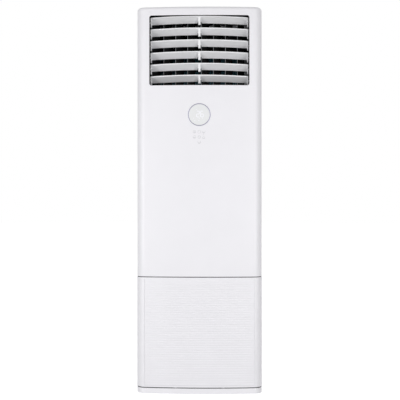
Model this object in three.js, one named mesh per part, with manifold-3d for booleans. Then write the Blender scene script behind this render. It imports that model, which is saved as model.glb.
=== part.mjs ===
// Floor standing air conditioner: a tall cabinet with an air intake in its lower front, a centrifugal fan
// behind it, a leaning cooling coil above that and a louvred outlet at the top of the front.
// Millimetres, +Z up. The front faces -Y, +X is the viewer's right, the origin is the middle of the foot.

import * as THREE from "three";
import { mergeVertices } from "three/addons/utils/BufferGeometryUtils.js";
import Module from "manifold-3d";

const wasm = await Module();
wasm.setup();

// ---- Cabinet ----
const cabinetWidth = 629;
const cabinetDepth = 456;
const cabinetHeight = 1935;
const bowRadius = 2708; // the whole front is one gentle bow
const cornerRadius = 45;
const topEdgeRadius = 16;
const skin = 3; // wall of the moulded panels
const sheet = 1.5; // wall of the steel panels
const plinthHeight = 28;
const plinthFlare = 1;
const plinthGap = 3.5; // under the intake panel
const basePanBack = 32; // behind the middle of the front
const seamGap = 3; // between the two front panels
const intakeHeight = 550;
const intakeInset = 1.5; // the intake panel stands this much inside the upper panel's plan
const wrapDepth = 59; // how far the front panels wrap round the sides
const edgeFlange = 8; // inward flange on the panels' seam edges
const coverHeight = 30;
const fit = 0.3; // between pieces that rest on each other
const running = 0.4; // round a pin that turns

// ---- Outlet, its blades and vanes ----
const outletWidth = 500;
const outletHeight = 350;
const outletBelowTop = 44; // from the cabinet's top to the outlet's
const outletCorner = 11;
const lipDepth = 17; // from the middle of the front back to the opening's inner edge
const frameMargin = 1.5;
const frameWall = 3;
const frameDepth = 171;
const frameRoomAbove = 14;
const frameRoomBelow = 6;
const frameFlange = 14.5;
const frameFlangeWall = 2.5;
const bladeCount = 6;
const bladePitch = 59;
const bladeHalfSpan = 240;
const bladeChord = 55;
const bladeAhead = 37; // of its pivot, at the blade's ends
const bladeBow = 14; // further ahead in the middle
const bladeThickness = 4;
const bladeCamber = 2;
const bladeLip = 5; // its front edge's upright face
const bladeRest = 30; // degrees, front edge up
const bladePivotBack = 63; // behind the middle of the front
const bladeLift = 0.7; // the row of blades stands this much above the outlet's middle
const bladePin = 3;
const bladeBoss = 4.6; // shoulder round the pin
const cheekWidth = 4.5;
const cheekFootBack = -12; // from the pivot, as the blade rests
const cheekFootDrop = 26;
const ribWidth = 11;
const ribFootBack = -26;
const ribFootDrop = 14.5;
const ribFootLength = 8;
const ribNotchWidth = 4;
const ribNotchDepth = 12;
const bladeCrankBack = 14;
const bladeCrankRise = 3;
const crankPin = 1.5;
const linkHalfWidth = 3.2;
const linkThickness = 3.2;
const vanesPerGroup = 4;
const vanePitch = 61;
const vaneGroupGap = 71;
const vaneAhead = 56;
const vaneBehind = 22;
const vaneThickness = 2;
const vaneRest = -28; // degrees, front edges to the viewer's left
const vaneFrontBack = 97; // from the middle of the front back to a straight vane's front edge
const vaneEndGap = 5;
const vanePin = 2.5;
const vaneCrank = 30;
const vaneLinkHeight = 100; // above the frame's floor
const motorRadius = 17.5;
const motorLength = 20;
const drivenBlade = 4;
const drivenVane = 5;

// ---- Display ----
const displayBelowOutlet = 147;
const displayRadius = 56;
const displayRing = 3.2;
const displayRingDepth = 6;
const boardWidth = 126;
const boardAboveDisplay = 64;
const boardBelowDisplay = 162; // the touch keys' pads lie below the lens
const boardThickness = 1.6;
const boardStandoff = 8;
const postRadius = 4;
const postMargin = 7; // from the board's edges to the posts that carry it

// ---- Intake panel and filter ----
const slatPitch = 11.7;
const slatHeight = 13.5;
const slatThickness = 1.3;
const slatLean = 3.2; // a slat's top lies this much deeper than its foot
const slatFaceDepth = 0.3;
const slatHalfWidth = 275;
const slatSegments = 4;
const slatMargin = 10; // plain edge above and below the slats
const clipOffset = 120; // from the panel's ends to the filter's clips
const gridDepth = 9; // upright ribs at the slats' ends
const gridRib = 3;
const hookOffset = 120;
const hookAxisBack = 11; // behind the middle of the front
const hookAxisHeight = 24;
const hookRadius = 4;
const hookPin = 2.2;
const hookWidth = 12;
const earThickness = 4;
const filterHalfWidth = 262;
const filterHeight = 500;
const filterThickness = 5;
const filterBack = 23; // its front face behind the middle of the front
const catchOffset = 200;
const catchWidth = 26;
const crossbarHeight = 52;
const crossbarBelowSeam = 22;
const crossbarBack = 41;

// ---- Fan ----
const fanX = -25;
const fanZ = 330;
const wheelRadius = 165;
const wheelWidth = 150;
const wheelBladeCount = 26;
const wheelBladeDepth = 28;
const wheelBladeLead = 11; // degrees that a blade's tip leads its root
const scrollTongue = 70; // degrees
const scrollStart = 186;
const scrollEnd = 290;
const scrollFrontBack = 92; // its front plate behind the middle of the front
const scrollDepth = 198;
const scrollWall = 3;
const mouthRadius = 140;
const mouthCurve = 28;
const shaftRadius = 6;
const fanMotorRadius = 62;
const fanMotorLength = 84;
const hubRadius = 20;
const hubLength = 32;
const bracketHalfWidth = 105;
const bracketSheet = 2;

// ---- Deck, coil and drain pan ----
const deckAboveCrossbar = 10.5;
const deckFront = 27; // behind the middle of the front
const coilSideRoom = 81.5; // from the side panel's face, for the bends and pipes
const coilDepth = 66;
const coilFootY = -110;
const coilTopBackRoom = 73; // between the back panel and the middle of the coil's top
const coilTopHeadroom = 165.6;
const finCount = 20;
const finSlotDepth = 5;
const bendCount = 4;
const bendRadius = 16;
const tubeRadius = 4.8;
const panFront = -160;
const panBack = -50;
const panAboveBox = 73.5;
const panHeight = 40;
const gasPipe = 7.95;
const liquidPipe = 4.8;
const pipeSideRoom = 25.5; // from the side panel's face to the pipes' middle
const gasPipeY = 130;
const liquidPipeY = 100;
const pipeEnd = 330;

// ---- Electrics and back ----
const boxHalfWidth = 150;
const boardRoomSide = 30; // between the box's left side and the main board
const mainBoardWidth = 180;
const boardFoot = 8;
const boxHeight = 250;
const boxDepth = 64;
const boxFrontBack = 26;
const wallPlateThickness = 2;
const wallPlateOffset = 200;
const wallPlateWidth = 60;
const wallPlateHeight = 70;
const wallPlateBelowCover = 15;
const beadDepth = 2;
const beadWidth = 16;
const beadPitch = 120;
const portX = 230;
const pipePortZ = 200;
const pipePortRadius = 36;
const cablePortZ = 150;
const cablePortRadius = 14;

// ---- Worked out ----
const past = 5; // how far a cutter runs past what it cuts
const degrees = Math.PI / 180;
const bodyHalf = cabinetWidth / 2 - plinthFlare;
const frontY = -cabinetDepth / 2 + plinthFlare;
const backY = cabinetDepth / 2;
const backPanelOuter = backY - wallPlateThickness;
const backPanelInner = backPanelOuter - sheet;
const innerBack = backPanelInner - beadDepth - fit;
const innerHalf = bodyHalf - sheet - fit;
const wrapY = frontY + wrapDepth;
const intakeBottom = plinthHeight + plinthGap;
const intakeTop = intakeBottom + intakeHeight;
const upperBottom = intakeTop + seamGap;
const coverBottom = cabinetHeight - coverHeight;
const outletTop = cabinetHeight - outletBelowTop;
const outletBottom = outletTop - outletHeight;
const displayHeight = outletBottom - displayBelowOutlet;
const boardTop = displayHeight + boardAboveDisplay;
const boardBottom = displayHeight - boardBelowDisplay;
const wallPlateTop = coverBottom - wallPlateBelowCover;
const pipeX = bodyHalf - pipeSideRoom;
const lipY = frontY + lipDepth;
const frameHalf = outletWidth / 2 + frameMargin;
const frameFront = lipY + fit;
const frameBack = frameFront + frameDepth;
const frameFloor = outletBottom - frameRoomBelow;
const frameRoof = outletTop + frameRoomAbove;
const bladePivotY = frontY + bladePivotBack;
const outletMiddle = outletBottom + outletHeight / 2;
const firstBladeZ = outletMiddle + ((bladeCount - 1) / 2) * bladePitch + bladeLift;
const vanePivotY = frontY + vaneFrontBack + vaneAhead;
const frameOuter = frameHalf + frameWall;
const crossbarBottom = upperBottom - crossbarBelowSeam;
const deckHeight = crossbarBottom + crossbarHeight + deckAboveCrossbar;
const panBottom = deckHeight + sheet + boxHeight + panAboveBox;
const coilHalfWidth = bodyHalf - coilSideRoom;
const coilFootZ = panBottom + panHeight;
const coilRun = innerBack - coilTopBackRoom - coilFootY;
const coilRise = coverBottom - coilTopHeadroom - coilFootZ;
const coilLength = Math.hypot(coilRun, coilRise);
const coilLean = Math.atan2(coilRun, coilRise) / degrees; // its top leans to the back

// Finishes as the eye sees them.
const whitePanel = { color: 0xecebef, roughness: 0.35, metalness: 0 };
const greyBlade = { color: 0xd9d9da, roughness: 0.4, metalness: 0 };
const blackPlastic = { color: 0x17181a, roughness: 0.6, metalness: 0 };
const greyPlastic = { color: 0x8a8d90, roughness: 0.55, metalness: 0 };
const paintedSteel = { color: 0xe4e3e7, roughness: 0.4, metalness: 0.2 };
const zincSteel = { color: 0xb9bdc0, roughness: 0.45, metalness: 0.9 };
const aluminium = { color: 0xc9ccd0, roughness: 0.35, metalness: 1 };
const copper = { color: 0xb87345, roughness: 0.3, metalness: 1 };
const brass = { color: 0xc8a95a, roughness: 0.35, metalness: 1 };
const glass = { color: 0xe8e9ea, roughness: 0.08, metalness: 0 };
const ringGrey = { color: 0xa09eb0, roughness: 0.3, metalness: 0.3 };
const boardGreen = { color: 0x2d6b45, roughness: 0.5, metalness: 0 };
const rubber = { color: 0x202020, roughness: 0.85, metalness: 0 };
const filterBlue = { color: 0x7c8ea3, roughness: 0.7, metalness: 0 };

// ---- Solids from three.js geometry ----

// A closed geometry as a solid. A profile may run either way round: faces that point inwards are turned.
function solid(geometry) {
  geometry.deleteAttribute("normal");
  geometry.deleteAttribute("uv");
  const merged = mergeVertices(geometry, 1e-4);
  const vertProperties = new Float32Array(merged.attributes.position.array);
  const triVerts = new Uint32Array(merged.index.array);
  const made = new wasm.Manifold(new wasm.Mesh({ numProp: 3, vertProperties, triVerts }));
  if (made.volume() > 0) return made;
  const turned = new wasm.Mesh({ numProp: 3, vertProperties, triVerts: triVerts.reverse() });
  return new wasm.Manifold(turned);
}

function box(x0, x1, y0, y1, z0, z1) {
  const geometry = new THREE.BoxGeometry(x1 - x0, y1 - y0, z1 - z0);
  return solid(geometry.translate((x0 + x1) / 2, (y0 + y1) / 2, (z0 + z1) / 2));
}

// A round bar along an axis between two places on it, centred at a and b on the other two axes.
function bar(axis, radius, from, to, a, b, sides = 16) {
  const geometry = new THREE.CylinderGeometry(radius, radius, to - from, sides);
  const middle = (from + to) / 2;
  if (axis === "x") geometry.rotateZ(Math.PI / 2).translate(middle, a, b);
  if (axis === "y") geometry.translate(a, middle, b);
  if (axis === "z") geometry.rotateX(Math.PI / 2).translate(a, b, middle);
  return solid(geometry);
}

// A closed profile of [radius, place along the axis] turned round the axis through a and b.
function turned(axis, profile, a, b, sides = 32) {
  const closed = [...profile, profile[0]].map(([radius, along]) => new THREE.Vector2(radius, along));
  const geometry = new THREE.LatheGeometry(closed, sides);
  if (axis === "y") geometry.translate(a, 0, b);
  if (axis === "z") geometry.rotateX(Math.PI / 2).translate(a, b, 0);
  return solid(geometry);
}

// An outline of [u, v] pushed along an axis: u, v are x, y for "z", x, z for "y" and y, z for "x".
function prism(axis, outline, from, to) {
  const shape = new THREE.Shape(outline.map(([u, v]) => new THREE.Vector2(u, v)));
  const geometry = new THREE.ExtrudeGeometry(shape, { depth: to - from, bevelEnabled: false });
  if (axis === "z") geometry.translate(0, 0, from);
  if (axis === "y") geometry.rotateX(Math.PI / 2).translate(0, to, 0);
  if (axis === "x") {
    const along = new THREE.Vector3(1, 0, 0);
    const across = new THREE.Vector3(0, 1, 0);
    const up = new THREE.Vector3(0, 0, 1);
    geometry.applyMatrix4(new THREE.Matrix4().makeBasis(across, up, along)).translate(from, 0, 0);
  }
  return solid(geometry);
}

// A body through rings of [x, y, z] points, as many in each; the end rings are flat and convex.
function loft(rings) {
  const count = rings[0].length;
  const last = (rings.length - 1) * count;
  const index = [];
  for (let ring = 0; ring + 1 < rings.length; ring++)
    for (let i = 0; i < count; i++) {
      const a = ring * count + i;
      const b = ring * count + ((i + 1) % count);
      index.push(a, b, b + count, a, b + count, a + count);
    }
  for (let i = 1; i + 1 < count; i++) {
    index.push(0, i + 1, i);
    index.push(last, last + i, last + i + 1);
  }
  const geometry = new THREE.BufferGeometry();
  geometry.setAttribute("position", new THREE.Float32BufferAttribute(rings.flat(2), 3));
  geometry.setIndex(index);
  return solid(geometry);
}

// A round tube through points.
function tube(points, radius, steps, sides = 8) {
  const path = new THREE.CatmullRomCurve3(points.map((p) => new THREE.Vector3(...p)));
  const corners = arc(0, 0, radius, 0, 360, sides).slice(1);
  const circle = new THREE.Shape(corners.map(([u, v]) => new THREE.Vector2(u, v)));
  return solid(new THREE.ExtrudeGeometry(circle, { steps, extrudePath: path, bevelEnabled: false }));
}

// Points on an arc, ends included.
function arc(u, v, radius, fromDegrees, toDegrees, steps) {
  return Array.from({ length: steps + 1 }, (_, i) => {
    const angle = (fromDegrees + ((toDegrees - fromDegrees) * i) / steps) * degrees;
    return [u + radius * Math.cos(angle), v + radius * Math.sin(angle)];
  });
}

function roundedRectangle(u0, u1, v0, v1, radius, steps = 3) {
  return [
    ...arc(u1 - radius, v1 - radius, radius, 0, 90, steps),
    ...arc(u0 + radius, v1 - radius, radius, 90, 180, steps),
    ...arc(u0 + radius, v0 + radius, radius, 180, 270, steps),
    ...arc(u1 - radius, v0 + radius, radius, 270, 360, steps),
  ];
}

const mirrored = (outline) => outline.map(([u, v]) => [-u, v]);
const join = (first, ...others) => others.reduce((whole, part) => whole.add(part), first);
const cut = (first, ...others) => others.reduce((whole, part) => whole.subtract(part), first);

// ---- The cabinet's plan ----

const bowCentreY = frontY + bowRadius;
const cornerX = bodyHalf - cornerRadius;
const cornerRise = Math.sqrt((bowRadius - cornerRadius) ** 2 - cornerX ** 2);
const cornerY = bowCentreY - cornerRise;
const bowHalfAngle = Math.atan2(cornerX, cornerRise) / degrees;

// How far back the bowed front lies at a place across it, at a depth under its face.
function bowY(x, depth) {
  return bowCentreY - Math.sqrt((bowRadius - depth) ** 2 - x ** 2);
}

// Bowed front, two corners tangent to it and straight sides, all drawn in by an inset.
function planOutline(inset, back) {
  const side = bodyHalf - inset;
  const radius = cornerRadius - inset;
  const bow = arc(0, bowCentreY, bowRadius - inset, 270 - bowHalfAngle, 270 + bowHalfAngle, 8);
  return [
    [-side, back],
    ...arc(-cornerX, cornerY, radius, 180, 270 - bowHalfAngle, 4),
    ...bow.slice(1, -1),
    ...arc(cornerX, cornerY, radius, 270 + bowHalfAngle, 360, 4),
    [side, back],
  ];
}

// A column on a plan that is a function of its inset; a top edge radius rolls its sides inwards.
function column(plan, inset, bottom, top, edge = 0) {
  const at = (more, z) => plan(inset + more).map(([x, y]) => [x, y, z]);
  const rings = [at(0, bottom), at(0, top - edge)];
  if (edge > 0)
    for (const [across, up] of arc(edge, 0, edge, 180, 90, 3).slice(1))
      rings.push(at(across, top - edge + up));
  return loft(rings);
}

const frontPlan = (back) => (inset) => planOutline(inset, back);

// ---- Outer panels ----

function outletOutline(grow) {
  const half = outletWidth / 2 + grow;
  return roundedRectangle(-half, half, outletBottom - grow, outletTop + grow, outletCorner + grow);
}

// The upper front: a moulded shell with a rolled top, the lipped outlet and the round display seat.
function frontPanel() {
  const outside = column(frontPlan(wrapY - fit), 0, upperBottom, cabinetHeight, topEdgeRadius);
  const room = frontPlan(wrapY + past);
  const inside = column(room, skin, upperBottom + skin, cabinetHeight - skin, topEdgeRadius - skin);
  const mouth = column(room, edgeFlange, upperBottom - past, upperBottom + 2 * skin);
  const lip = prism("y", outletOutline(skin), frontY - past, lipY).intersect(outside);
  const opening = prism("y", outletOutline(0), frontY - past, lipY + past);
  const seat = bar("y", displayRadius + fit, frontY - past, frontY + 2 * skin, 0, displayHeight, 36);
  const posts = [];
  for (const x of [-boardWidth / 2 + postMargin, boardWidth / 2 - postMargin])
    for (const z of [boardBottom + postMargin, boardTop - postMargin])
      posts.push(bar("y", postRadius, frontY + skin / 2, frontY + skin + boardStandoff, x, z, 8));
  return cut(join(cut(outside, inside, mouth), lip, ...posts), opening, seat);
}

// The top cover closes the cabinet behind the front panel with the same rolled edge.
function topCover() {
  const plan = (inset) => {
    const side = bodyHalf - inset;
    const rear = backPanelOuter - inset;
    return [[-side, wrapY], [side, wrapY], [side, rear], [-side, rear]];
  };
  const outside = column(plan, 0, coverBottom, cabinetHeight, topEdgeRadius);
  const inside = column(plan, skin, coverBottom - past, cabinetHeight - skin, topEdgeRadius - skin);
  return cut(outside, inside);
}

// One side: a folded steel panel with a flange behind the front panels and one under the back panel.
function sidePanel(side) {
  const outer = bodyHalf;
  const inner = bodyHalf - sheet;
  const flange = bodyHalf - 18;
  const outline = [
    [outer, wrapY],
    [outer, backPanelInner],
    [flange, backPanelInner],
    [flange, backPanelInner - sheet],
    [inner, backPanelInner - sheet],
    [inner, wrapY + sheet],
    [flange, wrapY + sheet],
    [flange, wrapY],
  ];
  return prism("z", side > 0 ? outline : mirrored(outline), plinthHeight, coverBottom);
}

// The back: one sheet stiffened by pressed upright beads, with the pipe and cable ports.
function backPanel() {
  const face = [];
  for (let bead = -1.5; bead <= 1.5; bead++) {
    const middle = bead * beadPitch;
    const half = beadWidth / 2;
    face.push([middle - half, 0], [middle - half + beadDepth, beadDepth]);
    face.push([middle + half - beadDepth, beadDepth], [middle + half, 0]);
  }
  const line = [[-bodyHalf, 0], ...face, [bodyHalf, 0]];
  const outside = line.map(([x, depth]) => [x, backPanelOuter - depth]);
  const inside = outside.map(([x, y]) => [x, y - sheet]).reverse();
  const panel = prism("z", [...outside, ...inside], plinthHeight, coverBottom);
  const pipePort = bar("y", pipePortRadius, innerBack - past, backY, portX, pipePortZ, 24);
  const cablePort = bar("y", cablePortRadius, innerBack - past, backY, -portX, cablePortZ, 16);
  return cut(panel, pipePort, cablePort);
}

// The plinth: a skirt round the front and sides, flared at the floor, with two pairs of hook ears.
function plinthSkirt() {
  const plan = frontPlan(backPanelInner - fit);
  const rings = [[-0.2, 0], [-plinthFlare, 3], [-plinthFlare, 6], [0, plinthHeight]];
  const outside = loft(rings.map(([inset, z]) => plan(inset).map(([x, y]) => [x, y, z])));
  const inside = column(frontPlan(backY), skin, -past, plinthHeight + past);
  const ears = [];
  for (const x of [-hookOffset, hookOffset])
    for (const side of [-1, 1]) {
      const near = x + side * (hookWidth / 2 + 1);
      const far = near + side * earThickness;
      const [low, high] = [Math.min(near, far), Math.max(near, far)];
      const ear = box(low, high, bowY(x, 1.5), frontY + hookAxisBack + 5, 4, plinthHeight);
      ears.push(cut(ear, hookPinBar(hookPin + running, low - 1, high + 1)));
    }
  return join(cut(outside, inside), ...ears);
}

function hookPinBar(radius, x0, x1) {
  return bar("x", radius, x0, x1, frontY + hookAxisBack, hookAxisHeight, 12);
}

// The base pan: a folded tray that stands on the floor inside the plinth.
function basePan() {
  const half = bodyHalf - skin - fit;
  const front = frontY + basePanBack;
  const top = plinthHeight - fit;
  const wall = bracketSheet;
  const shape = (inset, y0, y1, z0) => {
    const slab = box(-half, half, y0, y1, z0, top + z0);
    return column(frontPlan(y1), skin + fit + inset, z0, top + z0).intersect(slab);
  };
  const tray = shape(0, front, innerBack, 0);
  const room = shape(wall, front + wall, innerBack - wall, wall);
  const holes = [];
  for (const x of [-half + 40, half - 40])
    for (const y of [front + 40, innerBack - 40]) holes.push(bar("z", 6, -past, wall + past, x, y, 12));
  return cut(tray, room, ...holes);
}

// ---- Intake panel, filter and catches ----

// One slat: a wedge that follows the bow, thick at its foot and leaning back behind the next one up.
function slat(foot) {
  const reach = Math.asin((slatHalfWidth + 1.5) / bowRadius) / degrees;
  const section = [
    [slatFaceDepth, foot],
    [slatFaceDepth + slatThickness, foot],
    [slatFaceDepth + slatLean, foot + slatHeight],
  ];
  const lines = section.map(([depth, z]) => {
    const radius = bowRadius - intakeInset - depth;
    const line = arc(0, bowCentreY, radius, 270 - reach, 270 + reach, slatSegments);
    return line.map(([x, y]) => [x, y, z]);
  });
  return loft(lines[0].map((_, i) => lines.map((line) => line[i])));
}

// An upright rib behind the intake skin, between two places across.
function uprightRib(x0, x1, depth0, depth1, bottom, top) {
  const near = intakeInset + depth0;
  const far = intakeInset + depth1;
  const outline = [[x0, bowY(x0, near)], [x1, bowY(x1, near)], [x1, bowY(x1, far)], [x0, bowY(x0, far)]];
  return prism("z", outline, bottom, top);
}

const slatBottom = intakeBottom + slatMargin;
const slatCount = Math.floor((intakeHeight - 2 * slatMargin) / slatPitch);
const slatTop = slatBottom + slatCount * slatPitch + slatHeight - slatPitch + 2 * fit;
const grilleHalf = slatHalfWidth + gridRib + fit;

// The lower front: a moulded frame round the grille, with clips for the filter and two hooks at its foot.
function intakePanel() {
  const outside = column(frontPlan(wrapY - seamGap / 2), intakeInset, intakeBottom, intakeTop);
  const room = frontPlan(wrapY + past);
  const inside = column(room, intakeInset + skin, intakeBottom + skin, intakeTop - skin);
  const mouth = column(room, intakeInset + edgeFlange, intakeBottom - past, intakeTop + past);
  const opening = box(-grilleHalf, grilleHalf, frontY - past, frontY + 25, slatBottom, slatTop);
  const parts = [];
  for (const side of [-1, 1]) {
    for (const z of [intakeBottom + clipOffset, intakeTop - clipOffset]) parts.push(filterClip(side, z));
    parts.push(hook(side * hookOffset), strike(side * catchOffset));
  }
  return join(cut(outside, inside, mouth, opening), ...parts);
}

// The grille in the frame: lapped slats from side to side, held by an upright rib at each end.
function intakeGrille() {
  const parts = [];
  for (let i = 0; i < slatCount; i++) parts.push(slat(slatBottom + fit + i * slatPitch));
  for (const side of [-1, 1]) {
    const edge = between(side, slatHalfWidth, slatHalfWidth + gridRib);
    parts.push(uprightRib(...edge, slatFaceDepth, gridDepth, slatBottom + fit, slatTop - fit));
  }
  return join(...parts);
}

// A moulded clip that holds the filter's edge from behind.
function filterClip(side, z) {
  const back = frontY + filterBack + filterThickness + fit;
  const near = filterHalfWidth + fit;
  const far = grilleHalf + skin;
  const root = bowY(far, intakeInset + skin / 2);
  const arm = [
    [far, root],
    [far, back + 2],
    [near - 6, back + 2],
    [near - 6, back],
    [grilleHalf + fit, back],
    [grilleHalf + fit, root],
  ];
  return prism("z", side > 0 ? arm : mirrored(arm), z - 8, z + 8);
}

// A hook at the foot: a stem that drops behind the plinth and turns on its pin between two ears.
function hook(x) {
  const y = frontY + hookAxisBack;
  const z = hookAxisHeight;
  const shoulder = intakeBottom + 1;
  const top = slatBottom - fit;
  const face = bowY(x, intakeInset + skin / 2);
  const stem = [
    [y - 3, z],
    [y + 3, z],
    [y + 3.5, top - 5],
    [y + 2, top],
    [face, top],
    [face, shoulder],
    [y - 3, shoulder],
  ];
  const half = hookWidth / 2;
  const knuckle = bar("x", hookRadius, x - half, x + half, y, z, 12);
  const pin = hookPinBar(hookPin, x - half - earThickness - 2, x + half + earThickness + 2);
  return join(prism("x", stem, x - half, x + half), knuckle, pin);
}

const catchFront = frontY + crossbarBack - 20;

// A steel keeper on the panel's back, just in front of the catch on the cross bar.
function strike(x) {
  const face = bowY(x, intakeInset + skin / 2);
  return box(x - 6, x + 6, face, catchFront - 0.5, slatTop + fit, intakeTop - skin / 2);
}

// The filter: a frame with crossed ribs over a thin net.
function airFilter() {
  const front = frontY + filterBack;
  const middle = (slatBottom + slatTop) / 2;
  const bottom = middle - filterHeight / 2;
  const top = middle + filterHeight / 2;
  const rim = 10;
  const frame = box(-filterHalfWidth, filterHalfWidth, front, front + filterThickness, bottom, top);
  const cells = [];
  const across = 4;
  const up = 4;
  const cellWidth = (2 * filterHalfWidth - rim * (across + 1)) / across;
  const cellHeight = (filterHeight - rim * (up + 1)) / up;
  for (let i = 0; i < across; i++)
    for (let j = 0; j < up; j++) {
      const x = -filterHalfWidth + rim + i * (cellWidth + rim);
      const z = bottom + rim + j * (cellHeight + rim);
      cells.push(box(x, x + cellWidth, front + 1, front + filterThickness + past, z, z + cellHeight));
    }
  return cut(frame, ...cells);
}

// The cross bar behind the seam: a channel between the side panels that carries the catches.
function frontCrossbar() {
  const front = frontY + crossbarBack;
  const back = wrapY - fit;
  const bottom = crossbarBottom;
  const top = bottom + crossbarHeight;
  const wall = bracketSheet;
  const outline = [
    [front, bottom],
    [back, bottom],
    [back, bottom + wall],
    [front + wall, bottom + wall],
    [front + wall, top - wall],
    [back, top - wall],
    [back, top],
    [front, top],
  ];
  const half = bodyHalf - 16;
  return prism("x", outline, -half, half);
}

// A magnetic catch on the cross bar's face.
function panelCatch(x) {
  const half = catchWidth / 2;
  const top = intakeTop - 5;
  const body = box(x - half, x + half, catchFront, frontY + crossbarBack, top - 12, top);
  return cut(body, box(x - half + 4, x + half - 4, catchFront - 1, catchFront + 1, top - 9, top - 3));
}

// ---- Display ----

function displayRingBody() {
  const front = frontY - 0.4;
  const back = front + displayRingDepth;
  const inner = displayRadius - displayRing;
  const flangeFront = bowY(displayRadius, skin) + fit;
  const profile = [
    [inner, front + 0.5],
    [displayRadius - 0.6, front],
    [displayRadius, front + 0.6],
    [displayRadius, flangeFront],
    [displayRadius + 4, flangeFront],
    [displayRadius + 4, back + 1],
    [inner - 3, back + 1],
    [inner - 3, back],
    [inner, back],
  ];
  return turned("y", profile, 0, displayHeight, 24);
}

function displayLens() {
  const radius = displayRadius - displayRing - fit;
  const front = frontY;
  const back = frontY - 0.4 + displayRingDepth;
  const face = [[0, front - 0.3], [radius - 1, front + 0.2], [radius, front + 1]];
  const profile = [...face, [radius, back], [0, back]];
  return turned("y", profile, 0, displayHeight, 24);
}

// The board behind the panel: lamps behind the lens and touch pads behind the keys.
function displayBoard() {
  const front = frontY + skin + boardStandoff;
  const half = boardWidth / 2;
  const back = front + boardThickness;
  const board = box(-half, half, front, back, boardBottom, boardTop);
  const plug = box(-12, 12, back - 0.5, back + 8, boardBottom + 10, boardBottom + 20);
  const shield = box(-34, 34, back - 0.5, back + 3, displayHeight - 30, displayHeight + 30);
  return join(board, plug, shield);
}

// ---- Louvred outlet ----

const bladeZ = (i) => firstBladeZ - i * bladePitch;
const vaneX = (i) => {
  const inGroup = (i % vanesPerGroup) * vanePitch + vaneGroupGap / 2;
  return i < vanesPerGroup ? inGroup - vaneGroupGap - (vanesPerGroup - 1) * vanePitch : inGroup;
};
const vaneCount = 2 * vanesPerGroup;

// The frame: a black sleeve behind the opening whose walls carry every pin.
function louvreFrame() {
  const floorFoot = frameFloor - frameWall;
  const roofTop = frameRoof + frameWall;
  const sleeve = box(-frameOuter, frameOuter, frameFront, frameBack, floorFoot, roofTop);
  const air = box(-frameHalf, frameHalf, frameFront - past, frameBack + past, frameFloor, frameRoof);
  const flangeHalf = frameHalf + frameFlange;
  const low = outletBottom - frameFlange - frameMargin;
  const high = frameRoof + frameFlange - frameWall;
  const rim = roundedRectangle(-flangeHalf, flangeHalf, low, high, 12, 2);
  const sight = roundedRectangle(-frameHalf, frameHalf, outletBottom - frameMargin, frameRoof, outletCorner);
  const flange = cut(
    prism("y", rim, frameFront, frameFront + frameFlangeWall),
    prism("y", sight, frameFront - past, frameFront + past),
  );
  const holes = [];
  for (let i = 0; i < bladeCount; i++)
    for (const side of [-1, 1]) {
      const through = between(side, frameHalf - 1, frameOuter + 1);
      holes.push(bar("x", bladePin + running, ...through, bladePivotY, bladeZ(i), 8));
    }
  for (let i = 0; i < vaneCount; i++) {
    holes.push(bar("z", vanePin + running, floorFoot - 1, frameFloor + 1, vaneX(i), vanePivotY, 6));
    holes.push(bar("z", vanePin + running, frameRoof - 1, roofTop + 1, vaneX(i), vanePivotY, 6));
  }
  return cut(join(cut(sleeve, air), flange), ...holes);
}

// A place given as the blade rests, in the blade's own frame.
const asBladeRests = (back, up) => turnedBy(bladeRest, [back, up]);

// A blade's section in its own frame: an upright front face as it rests, a cambered body and a thin tail.
function bladeSection(bow) {
  const nose = -bladeAhead - bow;
  const half = bladeThickness / 2;
  const point = (u, thickness) => [
    nose + u * bladeChord,
    bladeCamber * 4 * u * (1 - u) + thickness * half,
  ];
  const [lipBack, lipDrop] = asBladeRests(0, -bladeLip);
  const lipTop = [nose, 0.8 * half];
  const lipFoot = [nose + lipBack, lipTop[1] + lipDrop];
  const upper = [point(0.12, 1), point(0.5, 0.85), point(1, 0.3)];
  const lower = [point(1, -0.3), point(0.5, -0.85), point(0.12, -1)];
  return [lipTop, ...upper, ...lower, lipFoot];
}

// A blade about its pivot: the bowed body, end cheeks with their pins, and the forked middle rib.
function louvreBlade(driven) {
  const stations = 6;
  const rings = Array.from({ length: stations + 1 }, (_, i) => {
    const x = -bladeHalfSpan + (2 * bladeHalfSpan * i) / stations;
    const bow = bladeBow * (1 - (x / bladeHalfSpan) ** 2);
    return bladeSection(bow).map(([y, z]) => [x, y, z]);
  });
  const pieces = [forkedRib()];
  const pinReach = frameOuter + 2 - bladeHalfSpan;
  const notches = [];
  const tail = bladeChord - bladeAhead - bladeBow;
  for (const side of [-1, 1]) {
    const reach = side > 0 && driven ? pinReach + 7 : pinReach;
    pieces.push(cheek(side), pivotPin(side, reach));
    const [x0, x1] = between(side, ribWidth / 2, ribWidth / 2 + ribNotchWidth);
    notches.push(box(x0, x1, tail - ribNotchDepth, tail + 2, -bladeThickness, bladeThickness));
  }
  return join(cut(loft(rings), ...notches), ...pieces);
}

function between(side, near, far) {
  return [side * near, side * far].sort((a, b) => a - b);
}

// A pivot pin with the shoulder that keeps the blade in the middle of the frame.
function pivotPin(side, reach) {
  const [x0, x1] = between(side, bladeHalfSpan - 1, bladeHalfSpan + reach);
  const [s0, s1] = between(side, bladeHalfSpan - 1, frameHalf - running);
  return join(bar("x", bladePin, x0, x1, 0, 0, 8), bar("x", bladeBoss, s0, s1, 0, 0, 8));
}

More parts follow.
